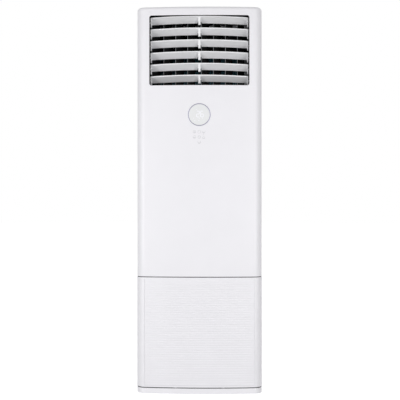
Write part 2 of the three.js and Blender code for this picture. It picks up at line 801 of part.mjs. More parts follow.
// An end cheek: a plate under the blade's end from its front edge to a foot under the pivot.
function cheek(side) {
  const [x0, x1] = between(side, bladeHalfSpan - cheekWidth, bladeHalfSpan);
  const [lipBack, lipDrop] = asBladeRests(0, -bladeLip);
  const tail = bladeChord - bladeAhead;
  const outline = [
    [-bladeAhead + 1, 1],
    [-bladeAhead + lipBack, 1.6 + lipDrop],
    asBladeRests(cheekFootBack - 3, -cheekFootDrop),
    asBladeRests(cheekFootBack + 4, -cheekFootDrop),
    [bladeBoss * 1.8, -bladeBoss * 2],
    [tail - 0.5, -0.6],
    [tail - 0.5, 0.4],
    ...arc(0, 0, bladeBoss + 1.4, 30, 150, 3),
  ];
  return prism("x", outline, x0, x1);
}

// The middle rib: a deep plate under the blade that ends behind it in a fork for the link's pin.
function forkedRib() {
  const rootFront = -bladeAhead - bladeBow + 3.5;
  const y = bladeCrankBack;
  const z = bladeCrankRise;
  const outline = [
    [rootFront, 0.5],
    [rootFront, -1.5],
    asBladeRests(ribFootBack, -ribFootDrop),
    asBladeRests(ribFootBack + ribFootLength, -ribFootDrop - 0.5),
    [0, -8],
    [y - 4.2, z - 4.5],
    ...arc(y, z, 4.5, 270, 430, 3),
    [3, 1.2],
    [-10, 1.5],
    [-30, 2],
  ];
  const rib = prism("x", outline, -ribWidth / 2, ribWidth / 2);
  const slotHalf = linkThickness / 2 + running;
  const slot = box(-slotHalf, slotHalf, 4.6, y + 10, z - 10, z + 10);
  const pin = bar("x", crankPin, -ribWidth / 2 + 1, ribWidth / 2 - 1, y, z, 6);
  return join(cut(rib, slot), pin);
}

// Where a crank lies once its blade or vane is turned to rest.
function turnedBy(angle, [u, v]) {
  const c = Math.cos(angle * degrees);
  const s = Math.sin(angle * degrees);
  return [u * c - v * s, u * s + v * c];
}

// The upright link that ties the blades.
function bladeLink() {
  const [dy, dz] = turnedBy(-bladeRest, [bladeCrankBack, bladeCrankRise]);
  const y = bladePivotY + dy;
  const top = bladeZ(0) + dz;
  const bottom = bladeZ(bladeCount - 1) + dz;
  const head = arc(y, top, linkHalfWidth, 0, 180, 6);
  const outline = [...head, ...arc(y, bottom, linkHalfWidth, 180, 360, 6)];
  const holes = [];
  for (let i = 0; i < bladeCount; i++)
    holes.push(bar("x", crankPin + running, -linkThickness, linkThickness, y, bladeZ(i) + dz, 6));
  return cut(prism("x", outline, -linkThickness / 2, linkThickness / 2), ...holes);
}

const vaneBottom = frameFloor + vaneEndGap;
const vaneTop = frameRoof - vaneEndGap;
const vaneLinkZ = frameFloor + vaneLinkHeight;

// A vane about its pivot: a thin upright plate, its two pins, and the lug that the link turns it by.
function vane(driven) {
  const half = vaneThickness / 2;
  const plan = [
    [-half, vaneBehind],
    [-half, -vaneAhead + 3],
    [0, -vaneAhead],
    [half, -vaneAhead + 3],
    [half, vaneBehind],
  ];
  const plate = prism("z", plan, vaneBottom, vaneTop);
  const footReach = driven ? 7 : 0;
  const pins = [
    bar("z", vanePin, frameFloor - frameWall - footReach, vaneBottom + 1, 0, 0, 6),
    bar("z", vanePin, vaneTop - 1, frameRoof + frameWall, 0, 0, 6),
  ];
  const lugOutline = [[-3.5, vaneBehind - 4], [3.5, vaneBehind - 4], ...arc(0, vaneCrank, 3.5, 0, 180, 3)];
  const lug = prism("z", lugOutline, vaneLinkZ - 3, vaneLinkZ);
  const pin = bar("z", crankPin, vaneLinkZ - 1, vaneLinkZ + 5, 0, vaneCrank, 6);
  return join(plate, ...pins, lug, pin);
}

// The flat link that ties the vanes behind their rear edges.
function vaneLink() {
  const [dx, dy] = turnedBy(vaneRest, [0, vaneCrank]);
  const y = vanePivotY + dy;
  const first = vaneX(0) + dx;
  const last = vaneX(vaneCount - 1) + dx;
  const outline = [...arc(last, y, linkHalfWidth, -90, 90, 6), ...arc(first, y, linkHalfWidth, 90, 270, 6)];
  const holes = [];
  for (let i = 0; i < vaneCount; i++)
    holes.push(bar("z", crankPin + running, vaneLinkZ - 1, vaneLinkZ + 10, vaneX(i) + dx, y, 6));
  const bottom = vaneLinkZ + running;
  return cut(prism("z", outline, bottom, bottom + 3), ...holes);
}

// A geared stepper motor: round can, two ears and a wire boss, with a socket that takes a driven pin.
function stepper(axis, from, direction, a, b, socket) {
  const [low, high] = between(1, from, from + direction * motorLength);
  const [earLow, earHigh] = between(1, from, from + direction * 1.5);
  const hole = between(1, from - direction, from + direction * 11);
  const can = bar(axis, motorRadius, low, high, a, b, 20);
  const flange = roundedRectangle(a - 21, a + 21, b - 5, b + 5, 4.5, 3);
  const boss =
    axis === "x"
      ? box(low + 2, high - 1, a - 8, a + 8, b - 21, b - 10)
      : box(a - 8, a + 8, b + 10, b + 21, low + 1, high - 2);
  return cut(join(can, prism(axis, flange, earLow, earHigh), boss), bar(axis, socket, ...hole, a, b, 12));
}

// ---- Fan ----

const scrollFront = frontY + scrollFrontBack;
const scrollBack = scrollFront + scrollDepth;

// The scroll's plan: a spiral that widens with the wheel's turn, then a straight chute up.
function scrollSolid(grow, y0, y1, top) {
  const sweep = 360 - scrollTongue;
  const steps = 24;
  const spiral = Array.from({ length: steps + 1 }, (_, i) => {
    const share = i / steps;
    const radius = scrollStart + (scrollEnd - scrollStart) * share + grow;
    const angle = (scrollTongue + sweep * share) * degrees;
    return [fanX + radius * Math.cos(angle), fanZ + radius * Math.sin(angle)];
  });
  const chuteLeft = fanX + scrollStart * Math.cos(scrollTongue * degrees) - grow;
  const chute = box(chuteLeft, fanX + scrollEnd + grow, y0, y1, fanZ, top);
  return prism("y", spiral, y0, y1).add(chute);
}

function scrollCasing() {
  const outside = scrollSolid(scrollWall, scrollFront, scrollBack, deckHeight);
  const inside = scrollSolid(0, scrollFront - past, scrollBack - scrollWall, deckHeight + past);
  const port = bar("y", 60, scrollBack - scrollWall - 1, scrollBack + 1, fanX, fanZ, 32);
  return cut(outside, inside, port);
}

// The scroll's front plate with the bell mouth that leads air into the wheel.
function scrollFrontPlate() {
  const plate = scrollSolid(scrollWall, scrollFront - scrollWall, scrollFront - fit, deckHeight);
  const throatY = scrollFront + 10;
  const centre = mouthRadius + mouthCurve;
  const air = arc(centre, throatY, mouthCurve, 180, 270, 3);
  const behind = arc(centre, throatY, mouthCurve - 2.5, 270, 180, 3);
  const mouth = turned("y", [...air, ...behind], fanX, fanZ, 24);
  const hole = bar("y", mouthRadius + 4, scrollFront - 10, scrollFront + 10, fanX, fanZ, 24);
  return join(cut(plate, hole), mouth);
}

const wheelFront = scrollFront + 15;
const wheelBack = wheelFront + wheelWidth;

// The wheel: forward-curved blades between a back disc with its hub and a front ring.
function fanWheel() {
  const root = wheelRadius - wheelBladeDepth;
  const half = 0.45;
  const line = [0, 0.55, 1].map((t) => [root + (wheelBladeDepth - 1) * t, wheelBladeLead * t * t]);
  const polar = (radius, angle) => {
    const turn = angle * degrees;
    return [fanX + radius * Math.cos(turn), fanZ + radius * Math.sin(turn)];
  };
  const disc = bar("y", wheelRadius, wheelBack - 3, wheelBack, fanX, fanZ, wheelBladeCount);
  const hub = bar("y", hubRadius, wheelBack - hubLength, wheelBack - 1, fanX, fanZ, 20);
  const ringBack = wheelFront + 2.5;
  const section = [
    [root + 8, wheelFront],
    [wheelRadius, wheelFront],
    [wheelRadius, ringBack],
    [root + 8, ringBack],
  ];
  const ring = turned("y", section, fanX, fanZ, wheelBladeCount);
  const blades = [];
  for (let i = 0; i < wheelBladeCount; i++) {
    const base = (i * 360) / wheelBladeCount;
    const outline = [
      ...line.map(([radius, lead]) => polar(radius, base + lead + half)),
      ...line.map(([radius, lead]) => polar(radius, base + lead - half)).reverse(),
    ];
    blades.push(prism("y", outline, wheelFront + 1, wheelBack - 2));
  }
  const bore = bar("y", shaftRadius + fit, wheelBack - hubLength - past, wheelBack + past, fanX, fanZ, 12);
  return cut(join(disc, hub, ring, ...blades), bore);
}

const hubFront = wheelBack - hubLength;
const bracketBack = scrollBack + bracketSheet;

function fanShaft() {
  return bar("y", shaftRadius, hubFront - 14, bracketBack + 10, fanX, fanZ, 12);
}

function wheelNut() {
  const nut = bar("y", 10, hubFront - 10, hubFront - fit, fanX, fanZ, 6);
  return cut(nut, bar("y", shaftRadius + fit, hubFront - 20, hubFront + 5, fanX, fanZ, 12));
}

// The motor: a can with cooling ribs round it, a front boss through the bracket and a bore for the shaft.
function fanMotor() {
  const front = bracketBack;
  const back = front + fanMotorLength;
  const r = fanMotorRadius;
  const profile = [[0, front - 6], [34, front - 6], [34, front], [r - 8, front], [r - 2, front + 4]];
  for (const y of [front + 20, back - 34]) profile.push([r - 2, y], [r, y + 1], [r, y + 11], [r - 2, y + 12]);
  profile.push([r - 2, back - 8], [r - 12, back - 1], [24, back - 1], [24, back + 5], [0, back + 5]);
  const bore = bar("y", shaftRadius + running, front - 10, front + 12, fanX, fanZ, 12);
  return cut(turned("y", profile, fanX, fanZ, 16), bore);
}

// The bracket: an upright sheet on the base pan that carries the motor and the scroll's back.
function motorBracket() {
  const foot = bracketSheet;
  const top = fanZ + bracketHalfWidth;
  const x0 = fanX - bracketHalfWidth;
  const x1 = fanX + bracketHalfWidth;
  const upright = box(x0, x1, scrollBack, bracketBack, foot, top);
  const flange = box(x0, x1, scrollBack, bracketBack + 40, foot, foot + bracketSheet);
  const side = [
    [scrollBack + 1, foot + 1],
    [bracketBack + 40, foot + 1],
    [bracketBack + 40, foot + 20],
    [bracketBack + 12, top],
    [scrollBack + 1, top],
  ];
  const gussets = [x0, x1 - bracketSheet].map((x) => prism("x", side, x, x + bracketSheet));
  const port = bar("y", 36, scrollBack - 1, bracketBack + 1, fanX, fanZ, 24);
  return cut(join(upright, flange, ...gussets), port);
}

// ---- Deck, coil, pan and pipes ----

// The middle deck: a folded sheet between fan and coil, open over the scroll's chute and the pipes.
function midDeck() {
  const neck = bodyHalf - 18 - fit;
  const front = frontY + deckFront;
  const shoulder = wrapY + sheet + fit;
  const outline = [
    [-neck, front],
    [neck, front],
    [neck, shoulder],
    [innerHalf, shoulder],
    [innerHalf, innerBack],
    [-innerHalf, innerBack],
    [-innerHalf, shoulder],
    [-neck, shoulder],
  ];
  const deck = prism("z", outline, deckHeight, deckHeight + sheet);
  const lip = box(-neck, neck, front, front + sheet, deckHeight - 10, deckHeight + 1);
  const chuteLeft = fanX + scrollStart * Math.cos(scrollTongue * degrees);
  const below = deckHeight - past;
  const above = deckHeight + past;
  const chute = box(chuteLeft, fanX + scrollEnd, scrollFront, scrollBack - scrollWall, below, above);
  const pipeSlot = roundedRectangle(pipeX - 14, pipeX + 14, liquidPipeY - 14, gasPipeY + 14, 13);
  return cut(join(deck, lip), chute, prism("z", pipeSlot, below, above));
}

// The fin pack: a comb of upright fins cut into both faces of the slab.
function coilFins() {
  const pitch = (2 * coilHalfWidth) / finCount;
  const half = coilDepth / 2;
  const face = (sign) => {
    const points = [];
    for (let i = 0; i < finCount; i++) {
      const x = -coilHalfWidth + i * pitch;
      const [outer, inner] = [sign * half, sign * (half - finSlotDepth)];
      points.push([x, outer], [x + pitch * 0.55, outer], [x + pitch * 0.6, inner], [x + pitch * 0.95, inner]);
    }
    points.push([coilHalfWidth, sign * half]);
    return points;
  };
  return prism("z", [...face(-1), ...face(1).reverse()], 0, coilLength);
}

// An end plate of the coil with its return bends and the baffle that closes the gap to the side panel.
function coilPlate(side) {
  const near = coilHalfWidth + fit;
  const far = near + sheet;
  const half = coilDepth / 2;
  const [x0, x1] = between(side, near, far);
  const plate = box(x0, x1, -half, half, 0, coilLength);
  const [b0, b1] = between(side, near, innerHalf);
  const baffle = box(b0, b1, -half, -half + sheet, 0, coilLength);
  const bends = [];
  const pitch = coilLength / bendCount;
  for (let i = 0; i < bendCount; i++) {
    const middle = (i + 0.5) * pitch;
    const loop = arc(0, middle, bendRadius, -90, 90, 4).map(([out, z]) => [side * (far + 6 + out), 6, z]);
    const ends = [middle - bendRadius, middle + bendRadius].map((z) => [side * (far - 1), 6, z]);
    bends.push(tube([ends[0], ...loop, ends[1]], tubeRadius, 7, 5));
  }
  return join(plate, baffle, ...bends);
}

const lean = (y, z) => {
  const [dy, dz] = turnedBy(-coilLean, [y, z]);
  return [coilFootY + dy, coilFootZ + dz];
};

// The drain pan under the coil: a sloped tray with two saddles for the coil and a spout at the back.
function drainPan() {
  const wall = 2;
  const top = panBottom + panHeight;
  const floor = panBottom + wall;
  const tray = box(-innerHalf, innerHalf, panFront, panBack, panBottom, top);
  const room = box(-innerHalf + wall, innerHalf - wall, panFront + wall, panBack - wall, floor, top + past);
  const [seatY, seatZ] = lean(coilDepth / 2, 0);
  const saddle = (x) => box(x - 20, x + 20, seatY - 8, seatY + 8, panBottom + 1, seatZ - fit);
  const saddles = [-150, 150].map(saddle);
  const spoutY = panBack - 18;
  const spout = bar("z", 10, panBottom - 30, panBottom + 1, innerHalf - 60, spoutY, 16);
  const drain = bar("z", 8, panBottom - 35, floor + 1, innerHalf - 60, spoutY, 16);
  return cut(join(cut(tray, room), ...saddles, spout), drain);
}

// A pipe from the coil's end plate, out to the side, back behind the pan and down through the deck.
function pipe(radius, height, y) {
  const [startY, startZ] = lean(14, height);
  const plateX = coilHalfWidth + fit + sheet + fit;
  const points = [
    [plateX, startY, startZ],
    [plateX + 12, startY, startZ],
    [pipeX - 8, startY + 4, startZ - 6],
    [pipeX, startY + 22, startZ - 40],
    [pipeX, y - 16, startZ - 150],
    [pipeX, y, startZ - 210],
    [pipeX, y, deckHeight + 60],
    [pipeX, y, deckHeight - 60],
    [pipeX, y, pipeEnd],
  ];
  return tube(points, radius, 18, 6);
}

// A flare nut at a pipe's end: a hexagon with a round collar and an open mouth.
function flareNut(radius, y) {
  const top = pipeEnd - fit;
  const hexagon = bar("z", radius * 1.7, top - 22, top, pipeX, y, 6);
  const collar = bar("z", radius * 1.35, top - 30, top - 21, pipeX, y, 16);
  return cut(join(hexagon, collar), bar("z", radius * 0.8, top - 35, top - 6, pipeX, y, 12));
}

// ---- Electrics ----

const boxFront = frontY + boxFrontBack;
const boxBack = boxFront + boxDepth;
const boxBottom = deckHeight + sheet;
const boxTop = boxBottom + boxHeight;

// The electric box: a folded tray that stands on the deck and opens to the front.
function electricBox() {
  const wall = bracketSheet;
  const half = boxHalfWidth;
  const inner = half - wall;
  const body = box(-half, half, boxFront, boxBack, boxBottom, boxTop);
  const room = box(-inner, inner, boxFront - past, boxBack - wall, boxBottom + wall, boxTop - wall);
  const entry = (x) => bar("z", 10, boxTop - wall - 1, boxTop + 1, x, boxBack - 20, 12);
  const entries = [-half + 50, half - 50].map(entry);
  return cut(body, room, ...entries);
}

function electricBoxCover() {
  const half = boxHalfWidth;
  const face = boxFront - sheet;
  const plate = box(-half, half, face, boxFront, boxBottom, boxTop);
  const crown = box(-half + 30, half - 30, face - 2, boxFront - 1, boxBottom + 30, boxTop - 30);
  return join(plate, crown);
}

// The main board on its two feet, with a transformer, two relays, a tall capacitor and a row of plugs.
function mainBoard() {
  const back = boxBack - bracketSheet - boardFoot;
  const front = back - boardThickness;
  const bottom = boxBottom + 90;
  const left = -boxHalfWidth + boardRoomSide;
  const right = left + mainBoardWidth;
  const board = box(left, right, front, back, bottom, boxTop - 15);
  const parts = [
    box(left + 10, left + 40, front - 25, front + 0.5, bottom + 20, bottom + 60),
    box(left + 50, left + 70, front - 16, front + 0.5, bottom + 20, bottom + 40),
    box(left + 80, left + 100, front - 16, front + 0.5, bottom + 20, bottom + 40),
    bar("y", 12, front - 30, front + 0.5, left + 90, bottom + 90, 16),
    box(right - 60, right - 10, front - 12, front + 0.5, bottom + 8, bottom + 20),
  ];
  const foot = (x) => bar("y", 3, back - 0.5, back + boardFoot - fit, x, bottom + 10, 8);
  return join(board, ...parts, ...[left + 8, right - 8].map(foot));
}

// The fan's capacitor: an oval can with two blade tabs.
function fanCapacitor() {
  const back = boxBack - bracketSheet - fit;
  const right = boxHalfWidth - 20;
  const oval = roundedRectangle(right - 50, right, boxBottom + 120, boxBottom + 155, 15);
  const can = prism("y", oval, back - 30, back);
  const tab = (x) => box(x - 3, x + 3, back - 40, back - 29, boxBottom + 137, boxBottom + 138);
  return join(can, ...[right - 35, right - 15].map(tab));
}

// The terminal block: a bar with walls between its five screws' places.
function terminalBlock() {
  const back = boxBack - bracketSheet - fit;
  const bottom = boxBottom + 30;
  const top = bottom + 34;
  const half = 60;
  const wall = 3;
  const pitch = (2 * half - wall) / 5;
  const body = box(-half, half, back - 14, back, bottom, top);
  const walls = Array.from({ length: 6 }, (_, i) => {
    const x = -half + i * pitch;
    return box(x, x + wall, back - 24, back - 13, bottom, top);
  });
  return join(body, ...walls);
}

// ---- Back ----

// A rubber grommet in the back panel: a collar through the port with a flange on each face.
function grommet(x, z, port, bore) {
  const hole = port - fit;
  const inside = backPanelInner - fit;
  const outside = backPanelOuter + fit;
  const profile = [
    [bore, inside - 3],
    [hole + 5, inside - 3],
    [hole + 5, inside],
    [hole, inside],
    [hole, outside],
    [hole + 4, outside],
    [hole + 4, backY],
    [bore, backY],
  ];
  return turned("y", profile, x, z, 16);
}

// A steel plate against tipping, with two slots for wall screws.
function wallPlate(x) {
  const half = wallPlateWidth / 2;
  const bottom = wallPlateTop - wallPlateHeight;
  const shape = roundedRectangle(x - half, x + half, bottom, wallPlateTop, 6);
  const plate = prism("y", shape, backPanelOuter, backY);
  const slots = [-18, 18].map((dx) => {
    const middle = x + dx;
    const outline = roundedRectangle(middle - 3.5, middle + 3.5, wallPlateTop - 28, wallPlateTop - 10, 3.4, 3);
    return prism("y", outline, backPanelOuter - 1, backY + 1);
  });
  return cut(plate, ...slots);
}

// ---- Assembly ----

const airConditioner = new THREE.Group();

function place(parent, name, body, finish) {
  const { vertProperties, triVerts } = body.getMesh();
  const geometry = new THREE.BufferGeometry();
  geometry.setAttribute("position", new THREE.BufferAttribute(vertProperties, 3));
  geometry.setIndex(new THREE.BufferAttribute(triVerts, 1));
  geometry.computeVertexNormals();
  const mesh = new THREE.Mesh(geometry, new THREE.MeshStandardMaterial(finish));
  mesh.name = name;
  parent.add(mesh);
  return mesh;
}

const casing = new THREE.Group();
airConditioner.add(casing);
place(casing, "base_pan", basePan(), zincSteel);
place(casing, "plinth_skirt", plinthSkirt(), whitePanel);
place(casing, "side_panel_left", sidePanel(-1), paintedSteel);
place(casing, "side_panel_right", sidePanel(1), paintedSteel);
place(casing, "back_panel", backPanel(), zincSteel);
place(casing, "top_cover", topCover(), whitePanel);
place(casing, "front_panel", frontPanel(), whitePanel);
place(casing, "front_crossbar", frontCrossbar(), zincSteel);
place(casing, "panel_catch_left", panelCatch(-catchOffset), blackPlastic);
place(casing, "panel_catch_right", panelCatch(catchOffset), blackPlastic);
place(casing, "wall_plate_left", wallPlate(-wallPlateOffset), zincSteel);
place(casing, "wall_plate_right", wallPlate(wallPlateOffset), zincSteel);
const pipeGrommet = grommet(portX, pipePortZ, pipePortRadius, pipePortRadius - 8);
place(casing, "pipe_grommet", pipeGrommet, rubber);
const cableGrommet = grommet(-portX, cablePortZ, cablePortRadius, cablePortRadius - 7);
place(casing, "cable_grommet", cableGrommet, rubber);

const intake = new THREE.Group();
airConditioner.add(intake);
place(intake, "intake_panel", intakePanel(), whitePanel);
place(intake, "intake_grille", intakeGrille(), whitePanel);
place(intake, "air_filter", airFilter(), filterBlue);

const display = new THREE.Group();
airConditioner.add(display);
place(display, "display_ring", displayRingBody(), ringGrey);
place(display, "display_lens", displayLens(), glass);
place(display, "display_board", displayBoard(), boardGreen);

const outlet = new THREE.Group();
airConditioner.add(outlet);
place(outlet, "louvre_frame", louvreFrame(), blackPlastic);
for (let i = 0; i < bladeCount; i++) {
  const blade = place(outlet, `louvre_blade_${i + 1}`, louvreBlade(i + 1 === drivenBlade), greyBlade);
  blade.position.set(0, bladePivotY, bladeZ(i));
  blade.rotation.x = -bladeRest * degrees;
}
place(outlet, "blade_link", bladeLink(), blackPlastic);
for (let i = 0; i < vaneCount; i++) {
  const upright = place(outlet, `vane_${i + 1}`, vane(i + 1 === drivenVane), blackPlastic);
  upright.position.set(vaneX(i), vanePivotY, 0);
  upright.rotation.z = vaneRest * degrees;
}
place(outlet, "vane_link", vaneLink(), blackPlastic);
const louvreMotor = stepper("x", frameOuter, 1, bladePivotY, bladeZ(drivenBlade - 1), bladePin + running);
place(outlet, "louvre_motor", louvreMotor, zincSteel);
const drivenVaneX = vaneX(drivenVane - 1);
const vaneMotor = stepper("z", frameFloor - frameWall, -1, drivenVaneX, vanePivotY, vanePin + running);
place(outlet, "vane_motor", vaneMotor, zincSteel);

const fan = new THREE.Group();
airConditioner.add(fan);
place(fan, "scroll_casing", scrollCasing(), greyPlastic);
place(fan, "scroll_front", scrollFrontPlate(), greyPlastic);
place(fan, "fan_wheel", fanWheel(), blackPlastic);
place(fan, "fan_shaft", fanShaft(), zincSteel);
place(fan, "wheel_nut", wheelNut(), zincSteel);
place(fan, "fan_motor", fanMotor(), zincSteel);
place(fan, "motor_bracket", motorBracket(), zincSteel);

const cooling = new THREE.Group();
airConditioner.add(cooling);
place(cooling, "mid_deck", midDeck(), zincSteel);
place(cooling, "drain_pan", drainPan(), greyPlastic);
place(cooling, "gas_pipe", pipe(gasPipe, 200, gasPipeY), copper);
place(cooling, "liquid_pipe", pipe(liquidPipe, 120, liquidPipeY), copper);
place(cooling, "gas_flare_nut", flareNut(gasPipe, gasPipeY), brass);
place(cooling, "liquid_flare_nut", flareNut(liquidPipe, liquidPipeY), brass);
const coil = new THREE.Group();
coil.position.set(0, coilFootY, coilFootZ);
coil.rotation.x = -coilLean * degrees;
cooling.add(coil);
place(coil, "coil_fins", coilFins(), aluminium);
place(coil, "coil_plate_left", coilPlate(-1), zincSteel);
place(coil, "coil_plate_right", coilPlate(1), zincSteel);

const electrics = new THREE.Group();
airConditioner.add(electrics);
place(electrics, "electric_box", electricBox(), zincSteel);
place(electrics, "electric_box_cover", electricBoxCover(), zincSteel);
place(electrics, "main_board", mainBoard(), boardGreen);
place(electrics, "fan_capacitor", fanCapacitor(), greyPlastic);
place(electrics, "terminal_block", terminalBlock(), blackPlastic);

export default airConditioner;
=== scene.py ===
# Floor standing air conditioner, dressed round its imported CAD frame. Metres, +Z up, the front faces -Y.
# The sections follow the object as it is put together, from the base pan up to the louvres and the studio.

import math

import bmesh
import bpy
import numpy as np
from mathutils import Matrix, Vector


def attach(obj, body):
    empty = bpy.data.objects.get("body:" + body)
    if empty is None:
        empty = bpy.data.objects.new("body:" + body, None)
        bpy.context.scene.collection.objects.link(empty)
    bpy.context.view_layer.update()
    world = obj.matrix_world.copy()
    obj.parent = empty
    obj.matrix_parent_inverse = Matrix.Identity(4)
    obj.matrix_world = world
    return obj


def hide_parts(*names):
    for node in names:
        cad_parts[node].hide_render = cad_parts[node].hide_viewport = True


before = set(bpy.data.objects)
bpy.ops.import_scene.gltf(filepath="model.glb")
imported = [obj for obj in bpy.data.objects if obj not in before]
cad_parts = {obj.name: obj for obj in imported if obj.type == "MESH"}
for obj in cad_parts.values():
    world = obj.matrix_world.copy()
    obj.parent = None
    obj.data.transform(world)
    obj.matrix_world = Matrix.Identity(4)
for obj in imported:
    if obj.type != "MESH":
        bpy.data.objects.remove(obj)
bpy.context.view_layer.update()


# ---- Base pan and inner sheet metal ----
# A tray folded from galvanised steel, which the fan's bracket, the deck and the back panel match.
# Zinc freezes on the sheet in flat crystals, so its grey drifts from patch to patch under a dull shine.


def linear(colour):
    """An sRGB hex colour as the linear RGBA of a node socket."""
    channels = [int(colour[i : i + 2], 16) / 255 for i in (1, 3, 5)]
    return (*[c / 12.92 if c <= 0.04045 else ((c + 0.055) / 1.055) ** 2.4 for c in channels], 1.0)


def add(tree, kind, inputs=None, to=None, **settings):
    """One node with its settings. Inputs maps a socket's name or number to a value, to an sRGB hex colour or
    to the socket that feeds it. `to` is an output of the node and the shader's socket that it feeds."""
    made = tree.nodes.new(kind)
    for name, value in settings.items():
        setattr(made, name, value)
    for name, value in (inputs or {}).items():
        if isinstance(value, bpy.types.NodeSocket):
            tree.links.new(value, made.inputs[name])
        else:
            made.inputs[name].default_value = linear(value) if isinstance(value, str) else value
    if to:
        tree.links.new(made.outputs[to[0]], tree.nodes["Principled BSDF"].inputs[to[1]])
    return made


def start_finish(name, **sockets):
    """A material with one Principled shader and these constants, e.g. Metallic=1.0. Gives the material, its
    tree and the socket of Object coordinates."""
    made = bpy.data.materials.new(name)
    made.use_nodes = True
    tree = made.node_tree
    shader = tree.nodes["Principled BSDF"]
    for socket, value in sockets.items():
        shader.inputs[socket.replace("_", " ")].default_value = value
    place = add(tree, "ShaderNodeTexCoord").outputs["Object"]
    return made, tree, place


def spangled_zinc(name, dark, light, crystal_mm, roughness):
    """Galvanised sheet: each crystal, a Voronoi cell, has its own shade and its own dullness."""
    made, tree, place = start_finish(name, Metallic=0.85)
    cells = add(tree, "ShaderNodeTexVoronoi", {"Vector": place, "Scale": 1000 / crystal_mm})
    shade = add(tree, "ShaderNodeRGBToBW", {"Color": cells.outputs["Color"]}).outputs["Val"]
    smear = add(tree, "ShaderNodeTexNoise", {"Vector": place, "Scale": 4.0, "Detail": 3.0}).outputs["Fac"]
    share = add(tree, "ShaderNodeMix", {0: 0.45, 2: smear, 3: shade}).outputs[0]
    add(tree, "ShaderNodeMix", {0: share, 6: dark, 7: light}, (2, "Base Color"), data_type="RGBA")
    dull = {"Value": shade, "To Min": roughness - 0.08, "To Max": roughness + 0.1}
    add(tree, "ShaderNodeMapRange", dull, ("Result", "Roughness"))
    relief = {"Height": shade, "Strength": 0.15, "Distance": 0.0002}
    add(tree, "ShaderNodeBump", relief, ("Normal", "Normal"))
    return made


def coat(material, *nodes):
    """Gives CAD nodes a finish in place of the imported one."""
    for name in nodes:
        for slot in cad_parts[name].material_slots:
            slot.material = material


galvanised_steel = spangled_zinc("galvanised steel, spangled", "#8F9598", "#C2C6C8", 14, 0.42)
coat(galvanised_steel, "base_pan", "front_crossbar", "motor_bracket", "mid_deck", "back_panel")
coat(galvanised_steel, "coil_plate_left", "coil_plate_right", "electric_box", "electric_box_cover")


# ---- Plinth skirt ----
# The moulded white foot round the pan, its walls 3 mm thick and flared a millimetre where they meet the
# floor. It is satin ABS like the front panels, injected in a finely sparked mould, so it hardly shines.

half_width = 0.3135
front_y = -0.227
bow_radius = 2.708
corner_radius = 0.045
skin = 0.003
bow_centre_y = front_y + bow_radius
corner_x = half_width - corner_radius
corner_rise = math.sqrt((bow_radius - corner_radius) ** 2 - corner_x**2)
corner_y = bow_centre_y - corner_rise
bow_half_angle = math.atan2(corner_x, corner_rise)
bow_end_x = bow_radius * math.sin(bow_half_angle)
corner_steps = 12


def stations(bow_xs, back):
    """Samples of the cabinet's plan from one side's back end round the front to the other side's.

    Each is a centre of curvature, an outward direction and a radius, and the plan drawn in by an inset passes
    through centre + direction * (radius - inset). The bow has one far centre, each corner its own, and a
    side's end takes its corner's centre moved back to `back`.
    """
    left = np.linspace(np.pi, 1.5 * np.pi - bow_half_angle, corner_steps + 1)[:-1]
    right = 3 * np.pi - left[::-1]
    bow = 1.5 * np.pi + np.arcsin(bow_xs / bow_radius)
    angle = np.concatenate([[np.pi], left, bow, right, [2 * np.pi]])
    side = np.concatenate([-np.ones(len(left) + 1), np.zeros(len(bow)), np.ones(len(right) + 1)])
    centre = np.stack([side * corner_x, np.where(side == 0, bow_centre_y, corner_y)], -1)
    centre[[0, -1], 1] = back
    radius = np.where(side == 0, bow_radius, corner_radius)
    return centre, np.stack([np.cos(angle), np.sin(angle)], -1), radius


def swept(plan, insets, heights):
    """The grid of a profile carried along the plan: row i lies at insets[i] inside it and at heights[i]."""
    centre, direction, radius = plan
    insets, heights = np.asarray(insets, float), np.asarray(heights, float)
    across = centre + direction * (radius - insets[:, None])[..., None]
    up = np.broadcast_to(heights[:, None, None], (*across.shape[:2], 1))
    return np.concatenate([across, up], -1)


def bow_y(x, depth=0.0):
    """How far back the bowed front lies at a place across it: the bow's circle drawn in by a depth."""
    return bow_centre_y - np.sqrt((bow_radius - depth) ** 2 - np.asarray(x) ** 2)


def surface(name, grids, caps=()):
    """One mesh of grids of points (rows, columns, 3), whose cells are faces, and of caps, outlines that one
    face fills. Points closer than 2 micrometres are merged, which joins grids along edges that they share."""
    faces, start = [], 0
    for grid in grids:
        rows, columns = grid.shape[:2]
        corner = start + np.arange(rows * columns).reshape(rows, columns)
        cells = corner[:-1, :-1], corner[:-1, 1:], corner[1:, 1:], corner[1:, :-1]
        faces += np.stack(cells, -1).reshape(-1, 4).tolist()
        start += rows * columns
    for cap in caps:
        faces.append(list(range(start, start + len(cap))))
        start += len(cap)
    points = np.concatenate([np.reshape(part, (-1, 3)) for part in (*grids, *caps)])
    mesh = bpy.data.meshes.new(name)
    mesh.from_pydata(points.tolist(), [], faces)
    work = bmesh.new()
    work.from_mesh(mesh)
    bmesh.ops.remove_doubles(work, verts=work.verts, dist=2e-6)
    bmesh.ops.recalc_face_normals(work, faces=work.faces)
    work.to_mesh(mesh)
    work.free()
    return mesh


